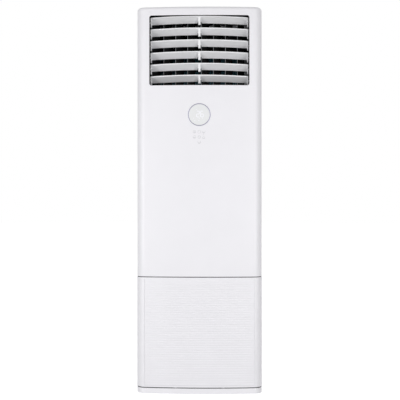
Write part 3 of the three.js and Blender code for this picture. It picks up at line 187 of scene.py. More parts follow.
def piece(name, mesh, material, body, replaced=(), wall=0.0, soften=0.0, crease=32):
    """A finished piece: a wall grown inwards from an open surface or edges softened, then smooth shading but
    for creases sharper than an angle in degrees, its material, and what it rides on and stands for."""
    made = bpy.data.objects.new(name, mesh)
    bpy.context.scene.collection.objects.link(made)
    if wall:
        thicken = made.modifiers.new("wall", "SOLIDIFY")
        thicken.thickness, thicken.offset = wall, -1.0
    if soften:
        ease = made.modifiers.new("softened edges", "BEVEL")
        ease.width, ease.segments, ease.limit_method, ease.angle_limit = soften, 2, "ANGLE", math.radians(40)
    if made.modifiers:
        shaped = made.evaluated_get(bpy.context.evaluated_depsgraph_get())
        made.data = bpy.data.meshes.new_from_object(shaped)
        made.modifiers.clear()
    made.data.shade_smooth()
    made.data.set_sharp_from_angle(angle=math.radians(crease))
    made.data.materials.clear()
    made.data.materials.append(material)
    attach(made, body)
    if replaced:
        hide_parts(*replaced)
    return made


def arc(centre, radius, start, end, steps):
    """Points (steps + 1, 2) of a circular arc between two angles in degrees."""
    angle = np.radians(np.linspace(start, end, steps + 1))
    return np.asarray(centre) + radius * np.stack([np.cos(angle), np.sin(angle)], -1)


def prism(axis, outline, low, high):
    """Grids and caps of a closed outline of (u, v) pushed along an axis, where (u, v) is (y, z) for x, (x, z)
    for y and (x, y) for z."""
    closed = np.concatenate([outline, outline[:1]])
    ends = [np.insert(closed, "xyz".index(axis), level, axis=1) for level in (low, high)]
    return [np.stack(ends)], [ends[0][:-1], ends[1][:-1]]


def rectangle(u0, u1, v0, v1):
    """The four corners between two values of u and two of v, in order round it."""
    return np.array([[u0, v0], [u1, v0], [u1, v1], [u0, v1]], float)


def gather(*parts):
    """The grids and the caps of several parts, as one pair."""
    return [g for grids, _ in parts for g in grids], [c for _, caps in parts for c in caps]


def grained(name, dark, light, roughness, grain_mm=0.8, relief_mm=0.02, drift=7.0, detail=2.0,
            spread=0.05, strength=0.25, **sockets):
    """Moulded plastic or baked powder: two near shades drift over a hand's width or more, and a grain lifts
    the face and varies its dullness. A mould's real grain is a fifth as wide; it is drawn wider to show."""
    made, tree, place = start_finish(name, **sockets)
    shades = {"Vector": place, "Scale": drift, "Detail": 2.0}
    shades = add(tree, "ShaderNodeTexNoise", shades).outputs["Fac"]
    add(tree, "ShaderNodeMix", {0: shades, 6: dark, 7: light}, (2, "Base Color"), data_type="RGBA")
    grain = {"Vector": place, "Scale": 1000 / grain_mm, "Detail": detail}
    grain = add(tree, "ShaderNodeTexNoise", grain).outputs["Fac"]
    dull = {"Value": grain, "To Min": roughness - spread, "To Max": roughness + spread}
    add(tree, "ShaderNodeMapRange", dull, ("Result", "Roughness"))
    relief = {"Height": grain, "Strength": strength, "Distance": relief_mm / 1000}
    add(tree, "ShaderNodeBump", relief, ("Normal", "Normal"))
    return made


satin_white = grained("ABS, satin cool white, moulded", "#EAE9ED", "#EEEDF1", 0.42, IOR=1.53)
plinth_height = 0.028
plinth_back = 0.2242
plinth_plan = stations(np.linspace(-bow_end_x, bow_end_x, 61), plinth_back)
plinth_profile = np.array([
    [0.003, 0.0], [-0.0004, 0.0], [-0.0009, 0.0006], [-0.001, 0.0015], [-0.001, 0.006],
    [0.0, 0.0265], [0.0005, 0.0276], [0.0012, 0.028], [0.003, 0.028], [0.003, 0.0],
])  # fmt: skip
plinth_ring = swept(plinth_plan, *plinth_profile.T)
plinth_parts = [([plinth_ring], [plinth_ring[:-1, 0], plinth_ring[:-1, -1]])]
hook_axis, hook_reach = (-0.216, 0.024), 0.12
ear_near, ear_thickness, ear_foot, ear_behind = 0.007, 0.004, 0.004, 0.005
for hook_x in (-hook_reach, hook_reach):
    for side in (-1, 1):
        near = hook_x + side * ear_near
        ear_x = sorted((near, near + side * ear_thickness))
        ear_front = float(bow_y(hook_x, skin / 2))
        ear = rectangle(ear_front, hook_axis[0] + ear_behind, ear_foot, plinth_height)
        plinth_parts.append(prism("x", ear, *ear_x))
plinth_mesh = surface("foot_skirt", *gather(*plinth_parts))
piece("foot_skirt", plinth_mesh, satin_white, "cabinet", ["plinth_skirt"])


# ---- Side panels and top cover ----
# The sides are flat steel folded at both edges and powder coated white; the coat's faint orange peel shows
# up close. The cover is a moulded lid whose edge rolls down all round and meets the front panel's top flush.

white_powder = grained(
    "powder coat, cool white, baked on steel", "#E2E1E6", "#E7E6EB", 0.4, grain_mm=2.2, relief_mm=0.06,
    drift=3.0, detail=1.0, spread=0.04, strength=0.3, IOR=1.5, Metallic=0.0)
coat(white_powder, "side_panel_left", "side_panel_right")

cabinet_height = 1.935
wrap_y = front_y + 0.059
cover_bottom = cabinet_height - 0.030
cover_rear = 0.226
roll_radius, roll_steps = 0.016, 10
edge_round = 0.0008


def cover_ring(inset, height):
    """The cover's outline at one level: three sides drawn in by an inset, mitred, and an open front."""
    side, rear = half_width - inset, cover_rear - inset
    return [[-side, wrap_y, height], [-side, rear, height], [side, rear, height], [side, wrap_y, height]]


roll_centre = (roll_radius, cabinet_height - roll_radius)
outer_roll = arc(roll_centre, roll_radius, 180, 90, roll_steps)
inner_roll = arc(roll_centre, roll_radius - skin, 90, 180, roll_steps)
cover_foot = [[skin, cover_bottom], [edge_round, cover_bottom], [0.0, cover_bottom + edge_round]]
cover_profile = [*cover_foot, *outer_roll, *inner_roll, [skin, cover_bottom]]
cover_grid = np.array([cover_ring(inset, height) for inset, height in cover_profile])
inner_start = len(cover_foot) + len(outer_roll)
top_row, under_row = cover_grid[inner_start - 1], cover_grid[inner_start]
lid = [np.stack([[row[0], row[3]], [row[1], row[2]]]) for row in (top_row, under_row)]
shell = [cover_grid[:inner_start], cover_grid[inner_start:]]
front_edge = [np.stack([[top_row[0], top_row[3]], [under_row[0], under_row[3]]])]
cover_caps = [cover_grid[:-1, 0], cover_grid[:-1, 3]]
cover_mesh = surface("lid", [*shell, *lid, *front_edge], cover_caps)
piece("lid", cover_mesh, satin_white, "cabinet", ["top_cover"], crease=50)


# ---- Upper front panel ----
# One moulding from the seam to the top: bowed across, rolled over at the top and wrapped round both sides.
# Its outlet has a soft-edged return lip, and a round seat below that takes the display.

upper_bottom = 0.5849
flange = 0.008
outlet_half, outlet_low, outlet_high, outlet_corner = 0.250, 1.541, 1.891, 0.011
outlet_margin, outlet_steps = 0.012, 6
lip_y = front_y + 0.017
display_z = 1.394
seat_radius = 0.0563
seat_margin_half = 0.076


def side_samples(low, high, fine, fine_steps, coarse_steps):
    """Samples of one side of a border, with fine_steps along `fine` at each end, opposite the corners."""
    ends = np.linspace(0, fine, fine_steps + 1)
    middle = np.linspace(low + fine, high - fine, coarse_steps + 1)
    return np.concatenate([low + ends[:-1], middle, (high - ends[:-1])[::-1]])


def ring_patch(border, outline_at, rows):
    """Grid between an opening's outline and a rectangular border round it. A row (grow, depth) is the outline
    grown outwards and set back behind the bow; the last row is the border itself."""
    lines = []
    for grow, depth in rows:
        u, v = outline_at(grow).T
        lines.append(np.stack([u, bow_y(u) + depth, v], -1))
    u, v = border.T
    lines.append(np.stack([u, bow_y(u), v], -1))
    return np.stack(lines)


def border_loop(us, vs):
    """A rectangle's points in order: along the bottom, up the right, back along the top and down the left."""
    bottom, top = (np.stack([us, np.full_like(us, level)], -1) for level in (vs[0], vs[-1]))
    left, right = (np.stack([np.full_like(vs, edge), vs], -1) for edge in (us[0], us[-1]))
    return np.concatenate([bottom[:-1], right[:-1], top[:0:-1], left[::-1]])


outlet_fine = outlet_margin + outlet_corner
outlet_right, outlet_top = outlet_half + outlet_margin, outlet_high + outlet_margin
outlet_xs = side_samples(-outlet_right, outlet_right, outlet_fine, outlet_steps, 76)
outlet_zs = side_samples(outlet_low - outlet_margin, outlet_top, outlet_fine, outlet_steps, 52)
seat_line = np.linspace(-seat_margin_half, seat_margin_half, 25)


def outlet_outline(grow):
    """The rounded rectangle of the outlet, sampled to match its border: each corner's arc in two halves of 45
    degrees, and the straight sides opposite the border's own points."""
    radius, steps = outlet_corner + grow, outlet_steps
    right, low, top = outlet_half - outlet_corner, outlet_low + outlet_corner, outlet_high - outlet_corner
    xs, zs = outlet_xs[steps:-steps], outlet_zs[steps:-steps]
    straights = (
        (xs, np.full_like(xs, low - radius)), (np.full_like(zs, right + radius), zs),
        (xs[::-1], np.full_like(xs, top + radius)), (np.full_like(zs, -right - radius), zs[::-1]),
    )  # fmt: skip
    corners = ((-right, low), (right, low), (right, top), (-right, top))
    parts = []
    for i, straight in enumerate(straights):
        begin = (225 + 90 * i) % 360
        parts += [arc(corners[i], radius, begin, begin + 45, steps)[:-1], np.stack(straight, -1)]
        begin = (270 + 90 * i) % 360
        parts.append(arc(corners[(i + 1) % 4], radius, begin, begin + 45, steps)[1 : None if i == 3 else -1])
    return np.concatenate(parts)


def seat_outline(grow):
    """The display seat's circle, sampled from 225 degrees on to match its square border."""
    return arc((0.0, display_z), seat_radius + grow, 225, 585, 4 * (len(seat_line) - 1))


lip_rise = arc((1, 1), 1, 180, 90, 5) * edge_round
lip_rows = [(0.0, lip_y - front_y)] + [(grow, edge_round - rise) for grow, rise in lip_rise]
outlet_patch = ring_patch(border_loop(outlet_xs, outlet_zs), outlet_outline, lip_rows)
outlet_patch[0, :, 1] = lip_y
seat_rows = [(0.0, 0.005), (0.0, 0.0006), (0.0006, 0.0)]
seat_patch = ring_patch(border_loop(seat_line, display_z + seat_line), seat_outline, seat_rows)

shoulder_x = 0.2675
panel_xs = np.unique(np.round(np.concatenate([
    [-bow_end_x, -shoulder_x], outlet_xs, seat_line, [shoulder_x, bow_end_x],
]), 7))  # fmt: skip
panel_back = wrap_y - 0.0003
panel_plan = stations(panel_xs, panel_back)
first_bow = corner_steps + 1


def columns_between(low, high):
    """The plan's stations from one place across the bow to another, or to its ends where None is given."""
    start = 0 if low is None else first_bow + int(np.argmin(abs(panel_xs - low)))
    stop = None if high is None else first_bow + int(np.argmin(abs(panel_xs - high))) + 1
    return tuple(part[start:stop] for part in panel_plan)


def face_band(heights, low=None, high=None):
    """A part of the upright face: the plan at each of these heights, between two places across it."""
    return swept(columns_between(low, high), np.zeros(len(heights)), heights)


face_bottom = upper_bottom + edge_round
foot_edge = arc((edge_round, face_bottom), edge_round, 270, 180, 4)
roll = arc(roll_centre, roll_radius, 180, 90, roll_steps)
crown = swept(panel_plan, *roll.T)
crown_back = crown[-1].copy()
crown_back[:, 1] = panel_back
panel_grids = [
    swept(panel_plan, *np.concatenate([[[flange, upper_bottom]], foot_edge]).T),
    face_band(np.linspace(face_bottom, display_z - seat_margin_half, 9)),
    face_band(display_z + seat_line, None, -seat_margin_half),
    face_band(display_z + seat_line, seat_margin_half, None),
    face_band(np.linspace(display_z + seat_margin_half, outlet_zs[0], 3)),
    face_band(outlet_zs, None, outlet_xs[0]),
    face_band(outlet_zs, outlet_xs[-1], None),
    face_band(np.linspace(outlet_zs[-1], cabinet_height - roll_radius, 2)),
    crown,
    np.stack([crown[-1], crown_back]),
    outlet_patch,
    seat_patch,
]
panel_mesh = surface("upper_front", panel_grids)
piece("upper_front", panel_mesh, satin_white, "cabinet", ["front_panel"], wall=skin)


# ---- Intake panel ----
# The lower front tips out on two hooks. It is a frame of the same satin ABS, wrapped round the sides like the
# upper panel, and its window holds the grille. Two clips a side hold the filter; two steel strikes meet the
# catches at the top.

intake_inset = 0.0015
intake_bottom, intake_top = 0.0315, 0.5811
window_low, window_high = 0.0415, 0.5704
window_depth = 0.004
intake_plan = stations(np.linspace(-bow_end_x, bow_end_x, 61), wrap_y - 0.0015)
foot_round = arc((edge_round, intake_bottom + edge_round), edge_round, 270, 180, 4)
head_round = arc((edge_round, intake_top - edge_round), edge_round, 180, 90, 4)
foot_flange, head_flange = [[flange - intake_inset, intake_bottom]], [[flange - intake_inset, intake_top]]
sill = np.concatenate([foot_flange, foot_round, [[0.0, window_low], [window_depth, window_low]]])
header = np.concatenate([[[window_depth, window_high], [0.0, window_high]], head_round, head_flange])
jamb = np.array([[0.0, window_low], [0.0, window_high]])
for profile in (sill, header, jamb):
    profile[:, 0] += intake_inset
left_jamb = tuple(part[:first_bow] for part in intake_plan)
right_jamb = tuple(part[-first_bow:] for part in intake_plan)
skin_grids = [swept(intake_plan, *sill.T), swept(intake_plan, *header.T)]
skin_grids += [swept(side, *jamb.T) for side in (left_jamb, right_jamb)]
lower_front = surface("lower_front", skin_grids)
piece("lower_front", lower_front, satin_white, "intake_door", ["intake_panel"], wall=skin)

grille_half, grille_rib, window_clearance = 0.275, 0.003, 0.0003
skin_middle = intake_inset + skin / 2
clip_back, clip_tip, clip_wall = front_y + 0.0283, 0.2623 - 0.006, 0.002
clip_from_end, clip_half = 0.120, 0.008
hook_half, pin_half, hook_radius, hook_pin_radius = 0.006, 0.012, 0.004, 0.0022
strike_x, strike_half, strike_back = 0.200, 0.006, -0.2065


def disc(centre, radius, points=24):
    """A circle's outline, its points evenly spread."""
    return arc(centre, radius, 0, 360 - 360 / points, points - 1)


fittings = []
for side in (-1, 1):
    clip_far, clip_inner = grille_half + 0.0063, grille_half + 0.0036
    clip_root = float(bow_y(clip_far, skin_middle))
    clip = np.array([
        [clip_far, clip_root], [clip_far, clip_back + clip_wall], [clip_tip, clip_back + clip_wall],
        [clip_tip, clip_back], [clip_inner, clip_back], [clip_inner, clip_root],
    ])  # fmt: skip
    for height in (intake_bottom + clip_from_end, intake_top - clip_from_end):
        fittings.append(prism("z", clip * [side, 1], height - clip_half, height + clip_half))
    hook_x, (pin_y, pin_z) = side * hook_reach, hook_axis
    face, stem_top = float(bow_y(hook_x, skin_middle)), window_low - window_clearance
    stem = np.array([
        [pin_y - 0.003, pin_z], [pin_y + 0.003, pin_z], [pin_y + 0.0035, stem_top - 0.005],
        [pin_y + 0.002, stem_top], [face, stem_top], [face, intake_bottom + 0.001],
        [pin_y - 0.003, intake_bottom + 0.001],
    ])  # fmt: skip
    for outline, half in ((stem, hook_half), (disc(hook_axis, hook_radius), hook_half),
                          (disc(hook_axis, hook_pin_radius), pin_half)):
        fittings.append(prism("x", outline, hook_x - half, hook_x + half))
fittings_mesh = surface("intake_fittings", *gather(*fittings))
piece("intake_fittings", fittings_mesh, satin_white, "intake_door", soften=0.0003)
for side, which in ((-1, "left"), (1, "right")):
    keeper_x = side * strike_x
    face = float(bow_y(keeper_x, skin_middle))
    keeper = rectangle(face, strike_back, window_high + window_clearance, intake_top - skin / 2)
    keeper_mesh = surface("catch_keeper", *prism("x", keeper, keeper_x - strike_half, keeper_x + strike_half))
    piece(f"catch_keeper_{which}", keeper_mesh, galvanised_steel, "intake_door", soften=0.0004)

# Black strips with a foam's cell texture sit in the seam above the intake panel and at its foot on the
# plinth: painted shade that darkens these two gaps.
painted_shade_black, tree, place = start_finish(
    "black, painted shade, closed-cell texture", Roughness=0.9, Specular_IOR_Level=0.2)
cells = add(tree, "ShaderNodeTexVoronoi", {"Vector": place, "Scale": 1000 / 0.6}).outputs["Distance"]
add(tree, "ShaderNodeMix", {0: cells, 6: "#060607", 7: "#101011"}, (2, "Base Color"), data_type="RGBA")
relief = {"Height": cells, "Strength": 0.4, "Distance": 0.0002}
add(tree, "ShaderNodeBump", relief, ("Normal", "Normal"))


def painted_shade_strip(name, plan, near, far, low, high, body):
    """A strip of black painted shade along a plan, between two insets and two heights."""
    ring = swept(plan, [near, far, far, near, near], [low, low, high, high, low])
    piece(name, surface(name, [ring], [ring[:-1, 0], ring[:-1, -1]]), painted_shade_black, body)


# Painted shade: black strips in the seam and along the plinth's top.
seam_levels = intake_top - 0.0001, upper_bottom - 0.0001
painted_shade_strip("seam_painted_shade", intake_plan, 0.0020, 0.0075, *seam_levels, "intake_door")
foot_plan = tuple(part[1:-1] for part in plinth_plan)
foot_levels = plinth_height - 0.0002, plinth_height + 0.0012
painted_shade_strip("foot_painted_shade", foot_plan, 0.0009, 0.0029, *foot_levels, "cabinet")


# ---- Intake grille ----
# Lapped slats fill the window from side to side, moulded as one with a rib at each end. Each is a wedge whose
# top leans back behind the next one's foot: air goes up between them, and the face stays closed to the eye.

slat_pitch, slat_height, slat_count = 0.0117, 0.0135, 45
slat_first = window_low + window_clearance
slat_face, slat_thickness, slat_lean, slat_round = 0.0003, 0.0013, 0.0032, 0.0004


def slat(foot):
    """One slat: its wedge section, with a rounded foot, carried along the bow between the ribs."""
    nose = arc((slat_face + slat_round, foot + slat_round), slat_round, 270, 180, 3)
    top_depth, top = slat_face + slat_lean, foot + slat_height
    back = [[top_depth - 0.0004, top], [top_depth, top], [slat_face + slat_thickness, foot]]
    section = np.concatenate([nose, back])
    angle = np.arcsin(np.linspace(-grille_half, grille_half, 49) / bow_radius)
    reach = (bow_radius - intake_inset - section[:, 0])[:, None]
    x, y = reach * np.sin(angle), bow_centre_y - reach * np.cos(angle)
    line = np.stack([x, y, np.broadcast_to(section[:, 1:], x.shape)], -1)
    return [np.concatenate([line, line[:1]])], [line[:, 0], line[:, -1]]


grille_parts = [slat(slat_first + i * slat_pitch) for i in range(slat_count)]
for side in (-1, 1):
    near, far = sorted((side * grille_half, side * (grille_half + grille_rib)))
    rib_front, rib_back = 0.0003, 0.009
    corners = ((near, rib_front), (far, rib_front), (far, rib_back), (near, rib_back))
    end_rib = np.array([[x, float(bow_y(x, intake_inset + depth))] for x, depth in corners])
    grille_parts.append(prism("z", end_rib, slat_first, window_high - window_clearance))
grille_mesh = surface("slat_grille", *gather(*grille_parts))
piece("slat_grille", grille_mesh, satin_white, "intake_door", ["intake_grille"])


# ---- Air filter ----
# A blue-grey polypropylene frame with a woven net behind its ribs; the net's mesh is about 1.2 mm.

filter_net, tree, place = start_finish("polypropylene, blue-grey, woven net", Roughness=0.6)
net_pitch_mm = 1.2
wave_scale = 1000 / net_pitch_mm / 20  # the wave texture repeats 20 times over a metre at a scale of one
threads = []
for direction in ("X", "Z"):
    wave = {"Vector": place, "Scale": wave_scale}
    threads.append(add(tree, "ShaderNodeTexWave", wave, bands_direction=direction).outputs["Fac"])
woven = add(tree, "ShaderNodeMath", {0: threads[0], 1: threads[1]}, operation="MAXIMUM").outputs[0]
add(tree, "ShaderNodeMix", {0: woven, 6: "#566676", 7: "#8798A8"}, (2, "Base Color"), data_type="RGBA")
relief = {"Height": woven, "Strength": 0.5, "Distance": 0.0004}
add(tree, "ShaderNodeBump", relief, ("Normal", "Normal"))
coat(filter_net, "air_filter")


# ---- Louvre frame ----
# Behind the outlet sits a black moulded sleeve whose walls carry every pin. Its grain is coarse and dull, so
# that the sleeve stays dark between the blades. A thin black sheet on the lip's own wall is painted shade.

dull_black = grained(
    "ABS, black, dull, moulded", "#0C0D0E", "#121314", 0.72, Specular_IOR_Level=0.25)
coat(dull_black, "louvre_frame", "vane_link", "blade_link", "panel_catch_left", "panel_catch_right")
coat(dull_black, "fan_wheel", "terminal_block")

# Painted shade: a thin black sheet over the white return of the outlet's lip.
lip_shade_gap, lip_shade_wall, lip_shade_setback = 0.0002, 0.0006, 0.0013
lip_shade_outer = outlet_outline(-lip_shade_gap)
lip_shade_inner = outlet_outline(-lip_shade_gap - lip_shade_wall)
near_y = bow_y(lip_shade_outer[:, 0]) + lip_shade_setback
far_y = np.full(len(lip_shade_outer), lip_y)
lip_shade_rows = ((lip_shade_outer, near_y), (lip_shade_outer, far_y), (lip_shade_inner, far_y), (lip_shade_inner, near_y))
lip_shade_grid = np.stack([np.stack([line[:, 0], depth, line[:, 1]], -1) for line, depth in lip_shade_rows])
lip_shade_grid = np.concatenate([lip_shade_grid, lip_shade_grid[:1]])
piece("outlet_lip_painted_shade", surface("outlet_lip_painted_shade", [lip_shade_grid]), dull_black, "cabinet")


# ---- Vanes ----
# Eight thin black vanes stand behind the blades, with their front edges to the left. Each front edge carries
# a bead of mid grey, a painted highlight, and a lug behind is pinned to the link that swings all eight.

# The grey bead along each vane's front edge is a painted highlight.
painted_highlight_grey = grained("mid grey, painted highlight on the vane edges", "#8B8D90", "#939598", 0.35, IOR=1.53)
vane_pivot_y, vane_rest = -0.074, math.radians(-28)
vane_ahead, vane_behind, vane_half = 0.056, 0.022, 0.001
vane_low, vane_high, lug_top = 1.540, 1.900, 1.635
frame_low, frame_high = 1.532, 1.908
crank_pin, vane_pin, vane_edge, vane_crank, lug_half = 0.0015, 0.0025, 0.0004, 0.030, 0.0035
vane_pitch, group_shift, driven_drop, bead_radius = 0.061, 0.005, 0.007, 0.0012


def placed_vane(parts, x):
    """Parts drawn about a vane's pivot, swung to rest and carried to the pivot's place."""
    c, s = math.cos(vane_rest), math.sin(vane_rest)
    swing = np.array([[c, s, 0], [-s, c, 0], [0, 0, 1]])
    return tuple([points @ swing + [x, vane_pivot_y, 0] for points in kind] for kind in parts)


vane_nose = arc((0, -vane_ahead + vane_half), vane_half, 180, 360, 8)
vane_tail = [[vane_half, vane_behind - vane_edge], [vane_half - vane_edge, vane_behind],
             [vane_edge - vane_half, vane_behind], [-vane_half, vane_behind - vane_edge]]
vane_plan = np.concatenate([vane_nose, vane_tail])
lug_root = [[-lug_half, vane_behind - 0.004], [lug_half, vane_behind - 0.004]]
lug = np.concatenate([lug_root, arc((0, vane_crank), lug_half, 0, 180, 10)])
for i in range(8):
    x = (i - 3.5) * vane_pitch + (group_shift if i > 3 else -group_shift)
    foot = frame_low - (driven_drop if i == 4 else 0)
    parts = [
        prism("z", vane_plan, vane_low, vane_high),
        prism("z", disc((0, 0), vane_pin), foot, vane_low + 0.001),
        prism("z", disc((0, 0), vane_pin), vane_high - 0.001, frame_high),
        prism("z", lug, lug_top - 0.003, lug_top),
        prism("z", disc((0, vane_crank), crank_pin, 12), lug_top - 0.001, lug_top + 0.005),
    ]
    body, node = f"vane_{i + 1}_swing", f"vane_{i + 1}"
    plate_mesh = surface(f"{node}_plate", *placed_vane(gather(*parts), x))
    piece(f"{node}_plate", plate_mesh, dull_black, body, [node])
    # Painted highlight: the grey bead on the vane's front edge.
    bead = prism("z", disc((0, -vane_ahead + 0.0008), bead_radius), vane_low, vane_high)
    piece(f"{node}_bead", surface(f"{node}_bead", *placed_vane(bead, x)), painted_highlight_grey, body)


# ---- Blades ----
# Six pale grey aerofoils close the outlet. Each is one moulding, bowed forward in the middle like the front:
# an upright lip, end cheeks with the pivot pins, and a middle rib whose fork takes the link.

pale_grey = grained("ABS, pale grey, moulded", "#EEEEF0", "#F2F2F4", 0.38, IOR=1.53)
blade_half, blade_chord, blade_ahead, blade_bow = 0.2455, 0.055, 0.037, 0.014
blade_pivot_y, first_blade_z, blade_pitch = -0.164, 1.8642, 0.059
blade_lip, blade_edge, blade_thickness, blade_ease = 0.0058, 0.0016, 0.002, 0.0006
cheek_width, boss_radius, pin_radius = 0.0045, 0.0046, 0.003
blade_tilt = math.radians(-30)
notch_inner, notch_outer, notch_front = 0.0055, 0.0095, -0.008
frame_half, pin_reach, driven_reach = 0.2515, 0.2565, 0.007


def turned_blade(points, height):
    """Points of a blade about its pivot, tilted with the front edge up and carried to its place."""
    x, y, z = np.moveaxis(points, -1, 0)
    c, s = math.cos(blade_tilt), math.sin(blade_tilt)
    return np.stack([x, y * c - z * s + blade_pivot_y, y * s + z * c + height], -1)


def as_blade_rests(back, up):
    """A place given as the blade rests, in the blade's own frame."""
    c, s = math.cos(-blade_tilt), math.sin(-blade_tilt)
    return [back * c - up * s, back * s + up * c]


def blade_line(x, tail):
    """The aerofoil's outline at one place across: the lip with rounded corners, then the upper side back to
    the tail and the lower side forward. Points past `tail` along the chord are drawn forward to it."""
    nose = -blade_ahead - blade_bow * (1 - (x / blade_half) ** 2)
    u = np.minimum(np.linspace(0.12, 1, 15), (tail - nose) / blade_chord)
    half = blade_thickness * np.interp(u, [0.12, 0.5, 0.9, 1], [1, 0.85, 0.42, 0.26])
    camber = blade_thickness * 4 * u * (1 - u)
    across, upper, lower = nose + u * blade_chord, camber + half, camber - half
    down = np.array(as_blade_rests(0, -blade_lip))
    top = np.array([nose, blade_edge])
    foot = top + down
    back_up, back_down = np.array([across[0], upper[0]]) - top, np.array([across[0], lower[0]]) - foot
    fall, rear_up, rear_down = (v / np.hypot(*v) for v in (down, back_up, back_down))
    near = 0.25 * blade_ease
    lip_top = [top + rear_up * blade_ease, top + (fall + rear_up) * near, top + fall * blade_ease]
    lip_foot = [foot - fall * blade_ease, foot + (rear_down - fall) * near, foot + rear_down * blade_ease]
    body = [np.stack([across, upper], -1), np.stack([across, lower], -1)[::-1]]
    outline = np.concatenate([lip_top[::-1], *body, lip_foot[::-1]])
    return np.insert(outline, 0, x, axis=1)


def blade_parts(driven):
    """The aerofoil carried across the outlet with two notches beside the rib, the cheeks, the pins and the
    rib; the driven blade's right pin is longer."""
    full = blade_chord
    lines = [blade_line(x, full) for x in np.linspace(-blade_half, -notch_outer, 20)]
    lines += [blade_line(x, notch_front) for x in (-notch_outer, -notch_inner)]
    lines += [blade_line(x, full) for x in (-notch_inner, 0.0, notch_inner)]
    lines += [blade_line(x, notch_front) for x in (notch_inner, notch_outer)]
    lines += [blade_line(x, full) for x in np.linspace(notch_outer, blade_half, 20)]
    grid = np.stack(lines)
    parts = [([np.concatenate([grid, grid[:, :1]], 1)], [grid[0], grid[-1]])]
    lip_y, lip_z = as_blade_rests(0, -blade_lip)
    cheek = np.concatenate([
        [[0.001 - blade_ahead, 0.001], [lip_y - blade_ahead, lip_z + 0.0016]],
        [as_blade_rests(-0.015, -0.026), as_blade_rests(-0.008, -0.026)],
        [[0.0083, -0.0092], [0.0175, -0.0006], [0.0175, 0.0004]],
        arc((0, 0), 0.006, 30, 150, 10),
    ])  # fmt: skip
    root_x, boss_end = blade_half - 0.001, frame_half - 0.0004
    for side in (-1, 1):
        pin_end = pin_reach + (driven_reach if driven and side > 0 else 0)
        parts.append(prism("x", cheek, *sorted((side * (blade_half - cheek_width), side * blade_half))))
        for radius, end in ((boss_radius, boss_end), (pin_radius, pin_end)):
            parts.append(prism("x", disc((0, 0), radius), *sorted((side * root_x, side * end))))
    crank = (0.014, 0.003)
    root = 0.0035 - blade_ahead - blade_bow
    foot = [as_blade_rests(-0.026, -0.0145), as_blade_rests(-0.018, -0.015)]
    keel = [[root, 0.0005], [root, -0.0015], *foot, [0, -0.008], [0.0046, -0.005]]
    keel_top = [[0.0046, 0.001], [0.003, 0.0012], [-0.010, 0.0015], [-0.030, 0.002]]
    parts.append(prism("x", np.array([*keel, *keel_top]), -notch_inner, notch_inner))
    fork_end = arc(crank, 0.0045, 270, 430, 12)
    tine = np.array([[0.002, -0.0055], [0.0098, -0.0015], *fork_end, [0.003, 0.0011], [0.002, 0.0008]])
    slot_half, tine_outer = 0.002, notch_inner - 0.00005
    for side in (-1, 1):
        parts.append(prism("x", tine, *sorted((side * slot_half, side * tine_outer))))
    parts.append(prism("x", disc(crank, crank_pin, 12), -0.0045, 0.0045))
    return gather(*parts)


for i in range(6):
    height = first_blade_z - i * blade_pitch
    parts = blade_parts(driven=i == 3)
    placed = [[turned_blade(points, height) for points in kind] for kind in parts]
    body, node = f"blade_{i + 1}", f"louvre_blade_{i + 1}"
    piece(f"{body}_moulding", surface(node, *placed), pale_grey, body, [node], crease=40)


# ---- Display ----
# A thin violet-grey ring holds a milky lens, nearly flat. Lamps behind it show two figures, a little lighter
# than the lens, and a few small signs.

ring_finish, tree, place = start_finish("ABS, violet-grey, metallised satin", Metallic=0.85)
drift = add(tree, "ShaderNodeTexNoise", {"Vector": place, "Scale": 60.0, "Detail": 2.0}).outputs["Fac"]
add(tree, "ShaderNodeMix", {0: drift, 6: "#9391A4", 7: "#9D9BAE"}, (2, "Base Color"), data_type="RGBA")
add(tree, "ShaderNodeMapRange", {"Value": drift, "To Min": 0.3, "To Max": 0.4}, ("Result", "Roughness"))

milky_lens, tree, place = start_finish("acrylic, milky, polished", IOR=1.49)
haze = add(tree, "ShaderNodeTexNoise", {"Vector": place, "Scale": 25.0, "Detail": 2.0}).outputs["Fac"]
add(tree, "ShaderNodeMix", {0: haze, 6: "#E6E7E8", 7: "#EAEBEC"}, (2, "Base Color"), data_type="RGBA")
add(tree, "ShaderNodeMapRange", {"Value": haze, "To Min": 0.2, "To Max": 0.26}, ("Result", "Roughness"))


def turned(profile, x, z, steps=96):
    """Grid of a closed profile of (radius, y) turned round an axis along Y through x and z."""
    angle = np.linspace(0, 2 * np.pi, steps + 1)
    radius, along = np.concatenate([profile, profile[:1]]).T[..., None]
    across, up = x + radius * np.cos(angle), z + radius * np.sin(angle)
    return np.stack([across, np.broadcast_to(along, across.shape), up], -1)


ring_profile = np.array([
    [0.0528, 0.0009], [0.0530, 0.0002], [0.0535, -0.0002], [0.0545, -0.0004], [0.0554, -0.0003],
    [0.0559, 0.0], [0.056, 0.0006], [0.056, 0.0044], [0.060, 0.0044], [0.060, 0.0066],
    [0.049, 0.0066], [0.049, 0.0056], [0.0528, 0.0056],
]) + [0, front_y]  # fmt: skip
ring_mesh = surface("ring_trim", [turned(ring_profile, 0.0, display_z)])
piece("ring_trim", ring_mesh, ring_finish, "cabinet", ["display_ring"])

lens_radius, lens_proud, lens_fall, lens_back = 0.0525, 0.0003, 0.0005, 0.0056
dome_steps = np.linspace(0, 1, 12)
dome = np.stack([dome_steps * (lens_radius - 0.0008), -lens_proud + lens_fall * dome_steps**2], -1)
rim = [[lens_radius - 0.0002, 0.0004], [lens_radius, 0.0009], [lens_radius, lens_back], [0.0, lens_back]]
lens_mesh = surface("lens", [turned(np.concatenate([dome, rim]) + [0, front_y], 0.0, display_z)])
piece("lens", lens_mesh, milky_lens, "cabinet", ["display_lens"])

